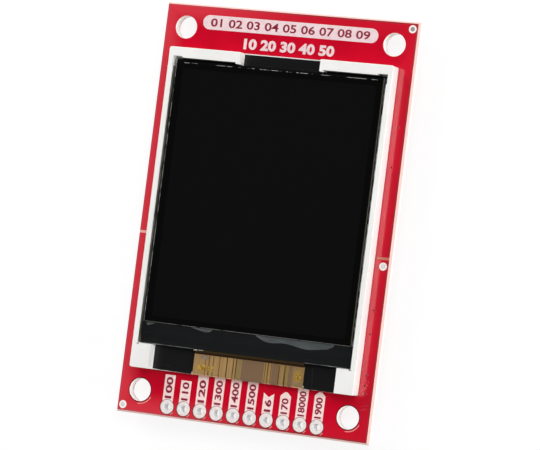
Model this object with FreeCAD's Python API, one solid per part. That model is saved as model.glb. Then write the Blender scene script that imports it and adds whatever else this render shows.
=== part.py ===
import FreeCAD, Part
import math
import os

# A small TFT display module: a red circuit board with a 1.8 inch class display stuck to
# its front. All lengths are in millimetres. The board's front faces +Z and its top edge
# is towards +Y. The origin is under the middle of the board, on the plane that the
# tallest parts of its back rest on.

# Circuit board: its face reaches this far past the display on every side
BOARD_SIDE_MARGIN = 2.05
BOARD_END_MARGIN = 6.295
BOARD_T = 1.60
MASK_T = 0.03
SCORE_DEPTH = 0.50
SCORE_PROUD = 0.25
HOLE_D = 3.30
HOLE_INSET = 3.175

# Header pads, plated through the board
PIN_COUNT = 10
PIN_PITCH = 2.54
PIN_ROW_INSET = 1.27
PAD_D = 1.88
PIN_HOLE_D = 1.016
PLATING_T = 0.05
PAD_PROUD = 0.015
MASK_RELIEF = 0.07

# Alignment dots: distance from the nearest side and from the board's middle height
DOT_D = 0.62
DOT_RING_D = 1.15
DOT_SIDE_INSET = 0.78
DOT_END_INSET = 0.80
DOT_MIDDLE_DROP = 4.74

# White print on the front
PRINT_T = 0.02
PILL_L = 26.70
PILL_H = 2.05
PILL_DROP = 2.20
FLAG_W = 1.58
FLAG_PAD_GAP = 0.13
FLAG_TUCK = 0.30
FLAG_FIRST_L = 4.55
FLAG_SECOND_L = 4.00
FLAG_NOTCHED_L = 3.80
FLAG_POINTED_L = 4.25
FLAG_LAST_L = 4.90
FLAG_POINT = 0.55
MARGIN_LINE_W = 0.36
MARGIN_LINE_DROP = 3.65
MARGIN_LINE_L = 1.85

# Liquid crystal cell: two sheets of glass, the rear one with a ledge at the bottom
GLASS_W = 31.90
GLASS_H = 40.40
GLASS_T = 0.40
LEDGE = 2.60
FRONT_POLARISER_T = 0.20
FRONT_POLARISER_SIDE = 0.38
FRONT_POLARISER_TOP = 0.30
FRONT_POLARISER_BOTTOM = 0.42
REAR_POLARISER_T = 0.10
REAR_POLARISER_SIDE = 0.65
REAR_POLARISER_TOP = 0.40
REAR_POLARISER_BOTTOM = 2.30

# Moulded display frame
GLASS_SIDE_GAP = 0.29
GLASS_TOP_GAP = 0.33
GLASS_END_GAP = 0.12
RIM_W = 0.76
RIM_TOP = 1.485
RIM_RISE = 0.43
FOOT_DEPTH = 3.495
FOOT_W = 2.80
FRAME_CORNER_R = 0.30
FRAME_EDGE_R = 0.10
NOTCH_W = 12.26
NIB_W = 0.50
NIB_REACH = 0.22
RELIEF_W = 1.20
RELIEF_DEPTH = 0.20

# Backlight
GUIDE_SIDE = 0.90
GUIDE_TOP = 0.55
GUIDE_BOTTOM = 1.00
GUIDE_T = 0.40
GUIDE_GAP = 0.10
EAR_L = 2.00
EAR_REACH = 0.50
EAR_DROP = 31.00
FILM_T = 0.04
FILM_INSET = 0.05
REFLECTOR_T = 0.05
REFLECTOR_LIP = 0.75
RIM_TAPE_T = 0.05
RIM_TAPE_GAP = 0.24
RIM_TAPE_CLEAR = 0.02
RIM_TAPE_DROP = 0.20
RIM_TAPE_NIB_GAP = 0.12
VIEW_INSET = 0.65
VIEW_TOP = 0.35
VIEW_BOTTOM = 2.70
TAB_GAP = 0.16
TAB_LIP = 0.14
APRON_GAP = 0.15
APRON_LEFT_LIP = 0.22
APRON_RIGHT_LIP = 0.06
LAMP_COUNT = 3
LAMP_END_INSET = 7.05
LAMP_W = 3.00
LAMP_D = 1.00
LAMP_T = 0.40
LAMP_GAP = 0.05
LAMP_POCKET_GAP = 0.08
STRIP_SIDE_INSET = 2.45
STRIP_D = 2.10
STRIP_T = 0.08

# Driver chip and the tape over the ledge
CHIP_L = 16.00
CHIP_W = 0.90
CHIP_T = 0.30
CHIP_SETBACK = 0.30
LEDGE_TAPE_T = 0.05
LEDGE_TAPE_SIDE = 0.05
LEDGE_TAPE_OVERHANG = 0.05
LEDGE_TAPE_CLEAR = 0.04

# Flexible circuit, folded down and round the bottom edge of the frame
FLEX_W = 16.76
FLEX_X = 0.57
FLEX_T = 0.10
FLEX_BOND = 1.20
FLEX_EDGE_RUN = 0.17
FLEX_BEND_R = 0.30
FLEX_STEP_RUN = 0.36
FLEX_SIDE_GAP = 0.15
TAIL_W = 12.00
TAIL_L = 7.40
TAIL_TAPER = 2.45
GOLD_T = 0.015
GOLD_DROP = 1.10
GOLD_PAD_L = 1.30
GOLD_PAD_W = 0.80
GOLD_PAD_INSET = 0.70
GOLD_BAR_W = 0.28
GOLD_BAR_PITCH = 0.55
JOINT_COUNT = 14
JOINT_PITCH = 0.80
JOINT_W = 0.45
JOINT_L = 1.60
JOINT_T = 0.04
TAIL_CLEAR = 0.01
MOUNT_TAPE_W = 6.00
MOUNT_TAPE_INSET = 0.80
MOUNT_TAPE_TAIL_GAP = 0.40

# Back of the board: the card socket and the bulk capacitors are the tallest parts
TALLEST = 1.90
LAND_PROUD = 0.02
LAND_MARGIN = 0.15

# Card socket
SOCKET_W = 14.00
SOCKET_D = 14.60
SOCKET_MOUTH_INSET = 0.30
SHELL_T = 0.20
SHELL_BEND_R = 0.30
SHELL_LUG_W = 1.60
SHELL_LUG_L = 1.00
THUMB_W = 7.50
THUMB_D = 1.60
SPRING_W = 1.30
SPRING_L = 5.20
SPRING_SLOT = 0.35
SPRING_SPREAD = 8.60
SPRING_SETBACK = 4.20
SPRING_DROP = 0.28
CARD_W = 11.00
CARD_GAP = 0.12
BASE_FLOOR_T = 0.45
BASE_GAP = 0.04
CONTACT_COUNT = 8
CONTACT_PITCH = 1.10
CONTACT_W = 0.60
CONTACT_T = 0.15
CONTACT_SLOT_GAP = 0.12
CONTACT_SLOT_L = 7.60
CONTACT_RISE = 0.55
CONTACT_TAIL = 0.90
CONTACT_BEND_R = 0.25

# Gull-wing packages: body length, width, height, and the leads
LEAD_T = 0.15
LEAD_FOOT = 0.45
LEAD_BEND_R = 0.20
BODY_STANDOFF = 0.10
BODY_DRAFT = 0.10
SHIFTER_L = 5.00
SHIFTER_W = 4.40
SHIFTER_T = 1.05
SHIFTER_SPAN = 6.40
SHIFTER_PITCH = 0.65
SHIFTER_LEAD_W = 0.24
SHIFTER_SIDE_INSET = 10.85
SHIFTER_DROP = 9.71
REGULATOR_L = 2.90
REGULATOR_W = 1.60
REGULATOR_T = 1.10
REGULATOR_SPAN = 2.80
SMALL_LEAD_PITCH = 0.95
SMALL_LEAD_W = 0.40
REGULATOR_GAP = 5.60
SWITCH_L = 2.90
SWITCH_W = 1.30
SWITCH_T = 1.00
SWITCH_SPAN = 2.40
SWITCH_GAP = 6.00
SWITCH_RISE = 4.40

# Bulk capacitors in moulded cases
BULK_L = 3.50
BULK_W = 2.80
BULK_SIDE_INSET = 5.85
BULK_END_INSET = 8.61
BULK_DRAFT = 0.12
BULK_TERMINAL_W = 2.20
BULK_TERMINAL_T = 0.12
BULK_TERMINAL_FOOT = 0.80
BULK_BEND_R = 0.16

# Chip resistors and ceramic chip capacitors
CHIP_PART_L = 1.60
CHIP_PART_W = 0.80
RESISTOR_T = 0.45
CERAMIC_T = 0.80
END_CAP_L = 0.32
END_CAP_T = 0.03
RESISTOR_COUNT = 6
RESISTOR_PITCH = 2.20
RESISTOR_ROW_DROP = 9.20
CERAMIC_SPREAD = 6.60
CERAMIC_ROW_DROP = 5.51
CERAMIC_GAP = 4.00

# Levels, from the resting plane upwards
back_z = TALLEST
front_z = back_z + BOARD_T
core_low = back_z + MASK_T
core_high = front_z - MASK_T
print_z = front_z + PRINT_T
frame_low = front_z + JOINT_T + FLEX_T + TAIL_CLEAR
guide_low = frame_low + REFLECTOR_T
guide_high = guide_low + GUIDE_T
films_high = guide_high + 3 * FILM_T
lamp_high = guide_low + LAMP_T
strip_high = lamp_high + STRIP_T
shelf_z = max(films_high, strip_high)
rim_tape_high = shelf_z + RIM_TAPE_T
rear_glass_low = rim_tape_high + REAR_POLARISER_T
ledge_z = rear_glass_low + GLASS_T
glass_z = ledge_z + GLASS_T
screen_z = glass_z + FRONT_POLARISER_T
rim_z = screen_z + RIM_RISE

# Outlines of the display, centred on the board
pocket_half = GLASS_W / 2 + GLASS_SIDE_GAP
frame_half = pocket_half + RIM_W
frame_h = RIM_TOP + GLASS_TOP_GAP + GLASS_H + GLASS_END_GAP + FOOT_DEPTH
frame_top = frame_h / 2
frame_bottom = -frame_h / 2
board_w = 2 * (frame_half + BOARD_SIDE_MARGIN)
board_h = frame_h + 2 * BOARD_END_MARGIN
board_top = board_h / 2
board_bottom = -board_h / 2
pocket_top = frame_top - RIM_TOP
glass_top = pocket_top - GLASS_TOP_GAP
glass_bottom = glass_top - GLASS_H
pocket_bottom = glass_bottom - GLASS_END_GAP
front_glass_bottom = glass_bottom + LEDGE
screen_bottom = front_glass_bottom + FRONT_POLARISER_BOTTOM
guide_half = GLASS_W / 2 - GUIDE_SIDE
guide_top = glass_top - GUIDE_TOP
guide_bottom = glass_bottom + GUIDE_BOTTOM
lamp_y = guide_bottom - LAMP_GAP
lamp_pitch = 2 * (guide_half - LAMP_END_INSET) / (LAMP_COUNT - 1)
strip_half = guide_half - STRIP_SIDE_INSET
foot_x = frame_half - FOOT_W
flex_low_x = FLEX_X - FLEX_W / 2
flex_high_x = FLEX_X + FLEX_W / 2
lap_low_x = flex_low_x - FLEX_SIDE_GAP
lap_high_x = flex_high_x + FLEX_SIDE_GAP

# Middle surface of the flexible circuit where it is bonded, laid down and tucked under
flex_bond_z = ledge_z + FLEX_T / 2
flex_lap_z = rim_tape_high + FLEX_T / 2
flex_tail_z = front_z + JOINT_T + FLEX_T / 2
flex_fold_r = (flex_lap_z - flex_tail_z) / 2
flex_out_y = frame_bottom + FLEX_T / 2
fold_y = flex_out_y + flex_fold_r
nose_y = fold_y - (shelf_z - frame_low) / 2 + 0.025

# Rows of parts on the back, from the card socket's mouth at the board's top edge down
socket_mouth = board_top - SOCKET_MOUTH_INSET
socket_rear = socket_mouth - SOCKET_D
ceramic_row_y = socket_rear - CERAMIC_ROW_DROP
shifter_y = socket_rear - SHIFTER_DROP
shifter_x = board_w / 2 - SHIFTER_SIDE_INSET
resistor_row_y = shifter_y - RESISTOR_ROW_DROP
low_row_y = board_bottom + BULK_END_INSET
bulk_x = board_w / 2 - BULK_SIDE_INSET
regulator_x = bulk_x - REGULATOR_GAP
ceramic_low_x = regulator_x - CERAMIC_GAP
pin_row_y = board_bottom + PIN_ROW_INSET


def vec(x, y, z=0.0):
    """A point or a direction."""
    return FreeCAD.Vector(x, y, z)


def block(x0, x1, y0, y1, z0, z1):
    """A rectangular block between two opposite corners."""
    return Part.makeBox(x1 - x0, y1 - y0, z1 - z0, vec(x0, y0, z0))


def slab(points, z0, z1):
    """A flat plate with straight edges, from its outline seen from above."""
    corners = [vec(x, y, z0) for x, y in points]
    face = Part.Face(Part.makePolygon(corners + corners[:1]))
    return face.extrude(vec(0, 0, z1 - z0))


def rod(x, y, radius, z0, z1):
    """An upright round bar, or the tool that drills a hole."""
    return Part.makeCylinder(radius, z1 - z0, vec(x, y, z0))


def upright_edges(shape, chosen=None):
    """The edges that run along Z, or those of them that a test on x and y picks."""
    picked = []
    for edge in shape.Edges:
        start = edge.Vertexes[0].Point
        end = edge.Vertexes[-1].Point
        if math.hypot(start.x - end.x, start.y - end.y) > 1e-6:
            continue
        if abs(start.z - end.z) < 1e-6:
            continue
        if chosen is None or chosen(start.x, start.y):
            picked.append(edge)
    return picked


def group(shapes):
    """Separate solids kept together in one node."""
    solids = []
    for shape in shapes:
        solids.extend(shape.Solids)
    return Part.makeCompound(solids)


def cut_all(shape, tools):
    """A shape with a set of tools cut from it in one step."""
    return shape.cut(Part.makeCompound(tools))


def bent_sheet(points, radii, thickness, width):
    """A bent strip of sheet. Its middle line runs in the YZ plane through the points,
    with an arc of the given radius at each inner corner, and its width is along X."""
    half = thickness / 2
    sides = {1: [], -1: []}
    ends = {1: [], -1: []}

    def shifted(point, way, side):
        return (point[0] - way[1] * side * half, point[1] + way[0] * side * half)

    ways = []
    for start, end in zip(points, points[1:]):
        run = math.dist(start, end)
        ways.append(((end[0] - start[0]) / run, (end[1] - start[1]) / run))
    for side in (1, -1):
        ends[side].append(shifted(points[0], ways[0], side))
        at = ends[side][0]
        for corner, radius, before, after in zip(points[1:-1], radii, ways, ways[1:]):
            cross = before[0] * after[1] - before[1] * after[0]
            turn = math.atan2(cross, before[0] * after[0] + before[1] * after[1])
            reach = radius * math.tan(abs(turn) / 2)
            begin = (corner[0] - before[0] * reach, corner[1] - before[1] * reach)
            finish = (corner[0] + after[0] * reach, corner[1] + after[1] * reach)
            lean = math.copysign(1.0, turn)
            centre = (begin[0] - before[1] * lean * radius,
                      begin[1] + before[0] * lean * radius)
            out = (corner[0] - centre[0], corner[1] - centre[1])
            reach_out = (radius - lean * side * half) / math.hypot(*out)
            middle = (centre[0] + out[0] * reach_out, centre[1] + out[1] * reach_out)
            first = shifted(begin, before, side)
            last = shifted(finish, after, side)
            if math.dist(at, first) > 1e-6:
                sides[side].append(Part.LineSegment(vec(0, *at), vec(0, *first)))
            sides[side].append(Part.Arc(vec(0, *first), vec(0, *middle), vec(0, *last)))
            at = last
        last = shifted(points[-1], ways[-1], side)
        sides[side].append(Part.LineSegment(vec(0, *at), vec(0, *last)))
        ends[side].append(last)
    caps = [Part.LineSegment(vec(0, *ends[1][i]), vec(0, *ends[-1][i])) for i in (0, 1)]
    edges = [curve.toShape() for curve in sides[1] + sides[-1] + caps]
    wire = Part.Wire(Part.__sortEdges__(edges))
    sheet = Part.Face(wire).extrude(vec(width, 0, 0))
    return sheet.translated(vec(-width / 2, 0, 0))


def on_back(shape, x, y, turn=0.0):
    """A part modelled on a floor at z = 0, set on the back of the board."""
    placed = shape.copy()
    placed.rotate(vec(0, 0), vec(0, 0, 1), turn)
    placed.rotate(vec(0, 0), vec(0, 1, 0), 180)
    placed.translate(vec(x, y, back_z - LAND_PROUD))
    return placed


def pin_x(index):
    """Where a header pad is along its row."""
    return (index - (PIN_COUNT - 1) / 2) * PIN_PITCH


def hole_centres():
    """The four mounting holes."""
    x = board_w / 2 - HOLE_INSET
    y = board_h / 2 - HOLE_INSET
    return [(-x, y), (x, y), (x, -y), (-x, -y)]


def dot_centres():
    """The three alignment dots: top right, right middle and bottom left."""
    x = board_w / 2 - DOT_SIDE_INSET
    y = board_h / 2 - DOT_END_INSET
    return [(x, y), (x, -DOT_MIDDLE_DROP), (-x, -y)]


def joint_boxes(z0, z1, margin):
    """One block at each solder joint of the flex tail."""
    tail_end = fold_y + TAIL_L
    blocks = []
    for index in range(JOINT_COUNT):
        x = FLEX_X + (index - (JOINT_COUNT - 1) / 2) * JOINT_PITCH
        low = tail_end - JOINT_L - margin
        high = tail_end + margin
        side = JOINT_W / 2 + margin
        blocks.append(block(x - side, x + side, low, high, z0, z1))
    return blocks


# Circuit board

def board_core():
    """The laminate: full size across its faces, with scored edges that leave a rough
    web standing proud at mid thickness."""
    half_w = board_w / 2
    half_h = board_h / 2

    def layer(grow, z):
        points = [(-half_w - grow, -half_h - grow), (half_w + grow, -half_h - grow),
                  (half_w + grow, half_h + grow), (-half_w - grow, half_h + grow)]
        return Part.makePolygon([vec(x, y, z) for x, y in points + points[:1]])

    levels = [(0, core_low), (SCORE_PROUD, core_low + SCORE_DEPTH),
              (SCORE_PROUD, core_high - SCORE_DEPTH), (0, core_high)]
    core = Part.makeLoft([layer(grow, z) for grow, z in levels], True, True)
    tools = [rod(x, y, HOLE_D / 2, core_low - 1, core_high + 1)
             for x, y in hole_centres()]
    for index in range(PIN_COUNT):
        radius = PIN_HOLE_D / 2 + PLATING_T
        tools.append(rod(pin_x(index), pin_row_y, radius, core_low - 1, core_high + 1))
    return cut_all(core, tools)


def mask_blank(z0, z1):
    """A coat over one whole face, open at the mounting holes and header pads."""
    coat = block(-board_w / 2, board_w / 2, -board_h / 2, board_h / 2, z0, z1)
    tools = [rod(x, y, HOLE_D / 2, z0 - 1, z1 + 1) for x, y in hole_centres()]
    for index in range(PIN_COUNT):
        radius = PAD_D / 2 + MASK_RELIEF
        tools.append(rod(pin_x(index), pin_row_y, radius, z0 - 1, z1 + 1))
    return coat, tools


def front_mask():
    """The red coat on the front, open round the dots and the flex joints too."""
    coat, tools = mask_blank(core_high, front_z)
    for x, y in dot_centres():
        tools.append(rod(x, y, DOT_RING_D / 2, core_high - 1, front_z + 1))
    tools.extend(joint_boxes(core_high - 1, front_z + 1, 0))
    return cut_all(coat, tools)


def back_mask(lands):
    """The red coat on the back, open at every solder land."""
    coat, tools = mask_blank(back_z, core_low)
    return cut_all(coat, tools + [land_block(land, back_z - 1, core_low + 1)
                                  for land in lands])


def header_pad(index):
    """One plated hole: a thin tinned barrel with a ring on each face."""
    bore = PIN_HOLE_D / 2
    wall = bore + PLATING_T
    ring = PAD_D / 2
    low = back_z - PAD_PROUD
    high = front_z + PAD_PROUD
    points = [(bore, low), (ring, low), (ring, core_low), (wall, core_low),
              (wall, core_high), (ring, core_high), (ring, high), (bore, high)]
    corners = [vec(x, 0, z) for x, z in points]
    face = Part.Face(Part.makePolygon(corners + corners[:1]))
    eyelet = face.revolve(vec(0, 0, 0), vec(0, 0, 1), 360)
    return eyelet.translated(vec(pin_x(index), pin_row_y, 0))


def alignment_dots():
    """The tinned dots in their bare rings."""
    return group([rod(x, y, DOT_D / 2, core_high, front_z + PAD_PROUD)
                  for x, y in dot_centres()])


def flag(index):
    """A printed flag that rises from a header pad and ends square, notched, pointed, or
    tucked under the display."""
    x = pin_x(index)
    half = FLAG_W / 2
    tucked = frame_bottom + FLAG_TUCK
    last = PIN_COUNT - 1
    lengths = {0: FLAG_FIRST_L, 1: FLAG_SECOND_L, last - 3: FLAG_NOTCHED_L,
               last - 2: FLAG_POINTED_L, last: FLAG_LAST_L}
    top = pin_row_y + lengths[index] if index in lengths else tucked
    points = [(x - half, pin_row_y), (x + half, pin_row_y)]
    if index in (last - 2, last):
        points += [(x + half, top - FLAG_POINT), (x + half / 4, top),
                   (x - half / 4, top), (x - half, top - FLAG_POINT)]
    elif index == last - 3:
        points += [(x + half, top), (x, top - FLAG_POINT), (x - half, top)]
    else:
        points += [(x + half, top), (x - half, top)]
    ring = PAD_D / 2 + FLAG_PAD_GAP
    return slab(points, front_z, print_z).cut(
        rod(x, pin_row_y, ring, front_z - 1, print_z + 1))


def front_print():
    """All the white print: the pill, the flags and the two short margin lines."""
    pill_y = board_h / 2 - PILL_DROP
    pill = block(-PILL_L / 2, PILL_L / 2, pill_y - PILL_H / 2, pill_y + PILL_H / 2,
                 front_z, print_z)
    pill = pill.makeFillet(PILL_H / 2 - 0.01, upright_edges(pill))
    prints = [pill] + [flag(index) for index in range(PIN_COUNT)]
    low = -MARGIN_LINE_DROP - MARGIN_LINE_W / 2
    high = low + MARGIN_LINE_W
    for side in (-1, 1):
        ends = sorted((side * board_w / 2, side * (board_w / 2 - MARGIN_LINE_L)))
        prints.append(block(ends[0], ends[1], low, high, front_z, print_z))
    return group(prints)


# Display frame

def frame_blank():
    """The outer block with rounded upright corners and softened front edges."""
    blank = block(-frame_half, frame_half, frame_bottom, frame_top, frame_low, rim_z)
    blank = blank.makeFillet(FRAME_CORNER_R, upright_edges(blank))
    front = [edge for edge in blank.Edges
             if all(abs(vertex.Z - rim_z) < 1e-6 for vertex in edge.Vertexes)]
    return blank.makeFillet(FRAME_EDGE_R, front)


def guide_outline(grow, z0, z1):
    """The light guide's outline with its two ears, grown by a running clearance."""
    half = guide_half + grow
    body = block(-half, half, guide_bottom - grow, guide_top + grow, z0, z1)
    ear_y = guide_top - EAR_DROP
    ears = block(-half - EAR_REACH, half + EAR_REACH,
                 ear_y - EAR_L / 2 - grow, ear_y + EAR_L / 2 + grow, z0, z1)
    return body.fuse(ears).removeSplitter()


def lamp_xs():
    """Where the lamps sit along the bay."""
    return [(index - (LAMP_COUNT - 1) / 2) * lamp_pitch for index in range(LAMP_COUNT)]


def reflector_outline(grow, z0, z1):
    """The reflector reaches past the light guide all round and under the lamps."""
    half = guide_half + REFLECTOR_LIP + grow
    return block(-half, half, lamp_y - LAMP_D - REFLECTOR_LIP - grow,
                 guide_top + REFLECTOR_LIP + grow, z0, z1)


def display_frame():
    """The white moulding that holds the cell, the films, the light guide and the
    lamps. Its top wall is notched, its bottom is open between two feet, and the rail
    there is rounded for the flexible circuit to fold round."""
    above = rim_z + 1
    frame = frame_blank()
    tools = [
        block(-pocket_half, pocket_half, pocket_bottom, pocket_top, shelf_z, above),
        block(-foot_x, foot_x, frame_bottom - 1, pocket_bottom + 1, shelf_z, above),
        block(-NOTCH_W / 2, NOTCH_W / 2, pocket_top - 1, frame_top + 1, shelf_z, above),
        guide_outline(GUIDE_GAP, frame_low - 1, above),
        reflector_outline(FILM_INSET, frame_low - 1, guide_low),
        block(lap_low_x, lap_high_x, frame_bottom - 1, nose_y, frame_low - 1, above),
        block(-strip_half - LAMP_POCKET_GAP, strip_half + LAMP_POCKET_GAP,
              lamp_y - STRIP_D - LAMP_POCKET_GAP, guide_bottom, lamp_high, above)]
    for x in lamp_xs():
        side = LAMP_W / 2 + LAMP_POCKET_GAP
        tools.append(block(x - side, x + side, lamp_y - LAMP_D - LAMP_POCKET_GAP,
                           guide_bottom, frame_low - 1, above))
    for side in (-1, 1):
        outer = side * (pocket_half + RELIEF_DEPTH / 2)
        inner = side * (pocket_half - RELIEF_W)
        tools.append(block(min(outer, inner), max(outer, inner),
                           pocket_top - RELIEF_W, pocket_top + RELIEF_DEPTH, shelf_z, above))
        tools.append(rod(inner, pocket_top, RELIEF_DEPTH, shelf_z, above))
        inner = outer - side * 2 * RELIEF_DEPTH
        tools.append(block(min(outer, inner), max(outer, inner),
                           pocket_bottom - RELIEF_DEPTH, pocket_bottom, shelf_z, above))
    frame = cut_all(frame, tools)
    nibs = []
    for side in (-1, 1):
        xs = sorted((side * NOTCH_W / 2, side * (NOTCH_W / 2 + NIB_W)))
        nibs.append(block(xs[0], xs[1], pocket_top - NIB_REACH, pocket_top + 0.5,
                          shelf_z, rim_z))
    frame = frame.fuse(nibs).removeSplitter()
    return round_nose(frame)


def round_nose(frame):
    """Round both long edges of the rail where the flexible circuit folds over it."""
    radius = (shelf_z - frame_low) / 2 - 0.025
    edges = []
    for edge in frame.Edges:
        box = edge.BoundBox
        at_nose = abs(box.YMin - nose_y) < 1e-6 and abs(box.YMax - nose_y) < 1e-6
        if at_nose and box.XLength > FLEX_W / 2:
            edges.append(edge)
    return frame.makeFillet(radius, edges)


# Backlight and cell, from the back forwards

def reflector_film():
    """The white film that closes the frame's underside."""
    return reflector_outline(0, frame_low, guide_low)


def light_guide():
    """The clear plate that spreads the lamps' light, with its locating ears."""
    return guide_outline(0, guide_low, guide_high)


def film(layer):
    """One of the thin films stacked on the light guide."""
    half = guide_half - FILM_INSET
    low = guide_high + layer * FILM_T
    return block(-half, half, guide_bottom, guide_top - FILM_INSET, low, low + FILM_T)


def lamp(x):
    """One side-view lamp: a white block with its lit window facing the light guide."""
    body = block(x - LAMP_W / 2, x + LAMP_W / 2, lamp_y - LAMP_D, lamp_y,
                 guide_low, lamp_high)
    wall = LAMP_T / 5
    window = block(x - LAMP_W / 2 + 3 * wall, x + LAMP_W / 2 - 3 * wall,
                   lamp_y - LAMP_D / 4, lamp_y + 1, guide_low + wall, lamp_high - wall)
    return body.cut(window)


def lamp_strip():
    """The thin circuit that the lamps are soldered to."""
    return block(-strip_half, strip_half, lamp_y - STRIP_D, lamp_y,
                 lamp_high, strip_high)


def rim_tape():
    """The black tape between frame and glass: a window, edges turned up round the glass,
    a tab in the top notch and an apron over the lamps, shorter under the flexible circuit
    and at the left."""
    z0 = shelf_z
    z1 = rim_tape_high
    half = pocket_half - RIM_TAPE_CLEAR
    nib = NOTCH_W / 2 + NIB_W + RIM_TAPE_NIB_GAP
    top = pocket_top - RIM_TAPE_CLEAR
    tab = NOTCH_W / 2 - TAB_GAP
    apron = foot_x - APRON_GAP
    turned = rim_z - RIM_TAPE_DROP
    pieces = [
        block(-tab, tab, pocket_top - 1, frame_top - TAB_LIP, z0, z1),
        block(-apron, lap_low_x, frame_bottom + APRON_LEFT_LIP, glass_bottom + 1, z0, z1),
        block(-apron, apron, fold_y, glass_bottom + 1, z0, z1),
        block(lap_high_x, apron, frame_bottom + APRON_RIGHT_LIP, glass_bottom + 1, z0, z1)]
    for side in (-1, 1):
        wall = side * (half - RIM_TAPE_T)
        corner = side * (pocket_half - RELIEF_W)
        pieces.append(block(min(side * half, wall), max(side * half, wall), glass_bottom,
                            pocket_top - RELIEF_W, z0, turned))
        pieces.append(block(min(side * nib, side * half), max(side * nib, side * half),
                            pocket_top - 1, top, z0, z1))
        pieces.append(block(min(side * nib, corner), max(side * nib, corner),
                            top - RIM_TAPE_T, top, z0, turned))
    sheet = block(-half, half, glass_bottom, pocket_top - RIM_TAPE_GAP, z0, z1)
    sheet = sheet.fuse(pieces).removeSplitter()
    view = guide_half - VIEW_INSET
    window = block(-view, view, guide_bottom + VIEW_BOTTOM, guide_top - VIEW_TOP,
                   z0 - 1, z1 + 1)
    return sheet.cut(window)


def rear_polariser():
    """The film on the back of the rear glass."""
    half = GLASS_W / 2 - REAR_POLARISER_SIDE
    return block(-half, half, glass_bottom + REAR_POLARISER_BOTTOM,
                 glass_top - REAR_POLARISER_TOP, rim_tape_high, rear_glass_low)


def rear_glass():
    """The glass with the transistors, longer at the bottom by the ledge."""
    return block(-GLASS_W / 2, GLASS_W / 2, glass_bottom, glass_top,
                 rear_glass_low, ledge_z)


def front_glass():
    """The glass with the colour filters."""
    return block(-GLASS_W / 2, GLASS_W / 2, front_glass_bottom, glass_top,
                 ledge_z, glass_z)


def front_polariser():
    """The dark film that is the screen's face."""
    half = GLASS_W / 2 - FRONT_POLARISER_SIDE
    return block(-half, half, screen_bottom, glass_top - FRONT_POLARISER_TOP,
                 glass_z, screen_z)


def driver_chip():
    """The long slim chip bonded to the ledge."""
    high = front_glass_bottom - CHIP_SETBACK
    return block(-CHIP_L / 2, CHIP_L / 2, high - CHIP_W, high, ledge_z, ledge_z + CHIP_T)


def ledge_tape():
    """The black tape that laps the front glass, bridges the driver chip and comes down
    on the flexible circuit."""
    half = LEDGE_TAPE_T / 2
    chip_high = front_glass_bottom - CHIP_SETBACK
    chip_low = chip_high - CHIP_W
    crest = ledge_z + CHIP_T + LEDGE_TAPE_CLEAR + half
    path = [(screen_bottom, glass_z + half),
            (front_glass_bottom - LEDGE_TAPE_CLEAR, glass_z + half),
            (chip_high, crest),
            (chip_low, crest),
            (glass_bottom + FLEX_BOND / 2, ledge_z + FLEX_T + half),
            (glass_bottom - LEDGE_TAPE_OVERHANG, ledge_z + FLEX_T + half)]
    tape = bent_sheet(path, [0.3] * (len(path) - 2), LEDGE_TAPE_T,
                      GLASS_W + 2 * LEDGE_TAPE_SIDE)
    return tape


# Flexible circuit and what holds the display to the board

def display_flex():
    """The amber circuit: bonded to the ledge, stepped down on to the rim tape, folded
    round the rail and tucked under the frame, where its tail narrows."""
    step_y = glass_bottom - FLEX_EDGE_RUN
    path = [(glass_bottom + FLEX_BOND, flex_bond_z),
            (step_y, flex_bond_z),
            (step_y - FLEX_STEP_RUN, flex_lap_z),
            (flex_out_y, flex_lap_z),
            (flex_out_y, flex_tail_z),
            (fold_y + TAIL_L, flex_tail_z)]
    radii = [FLEX_BEND_R, FLEX_BEND_R, flex_fold_r, flex_fold_r]
    flex = bent_sheet(path, radii, FLEX_T, FLEX_W).translated(vec(FLEX_X, 0, 0))
    low = flex_tail_z - FLEX_T
    high = flex_tail_z + FLEX_T / 2 + TAIL_CLEAR / 2
    waist = (FLEX_W - TAIL_W) / 2
    for side in (-1, 1):
        edge = FLEX_X + side * FLEX_W / 2
        points = [(edge, fold_y + waist / 4), (edge - side * waist, fold_y + TAIL_TAPER),
                  (edge - side * waist, fold_y + TAIL_L + 1),
                  (edge + side, fold_y + TAIL_L + 1), (edge + side, fold_y + waist / 4)]
        flex = flex.cut(slab(points, low, high))
    return flex


def flex_gold_pads():
    """Bare gold pads on the part of the flexible circuit that faces forwards."""
    low = rim_tape_high + FLEX_T
    top = fold_y + GOLD_DROP
    left = flex_low_x + GOLD_PAD_INSET
    right = flex_high_x - GOLD_PAD_W / 2
    pads = [block(left, left + GOLD_PAD_L, top - GOLD_PAD_W, top, low, low + GOLD_T),
            block(right - GOLD_PAD_W, right, top - GOLD_PAD_W / 2, top + GOLD_PAD_W / 2,
                  low, low + GOLD_T)]
    for step in (1, 2):
        x = left + GOLD_PAD_L - GOLD_BAR_W / 2 + step * GOLD_BAR_PITCH
        pads.append(block(x - GOLD_BAR_W / 2, x + GOLD_BAR_W / 2, top - GOLD_PAD_W, top,
                          low, low + GOLD_T))
    return group(pads)


def mounting_tape(side):
    """One strip of double-sided tape between the frame and the board, beside the flex
    tail and above the part where the tail narrows."""
    xs = sorted((side * (frame_half - MOUNT_TAPE_INSET),
                 side * (frame_half - MOUNT_TAPE_INSET - MOUNT_TAPE_W)))
    return block(xs[0], xs[1], fold_y + TAIL_TAPER + MOUNT_TAPE_TAIL_GAP,
                 frame_top - MOUNT_TAPE_INSET, front_z, frame_low)


# Card socket on the back, modelled opening towards +Y on a floor at z = 0

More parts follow.
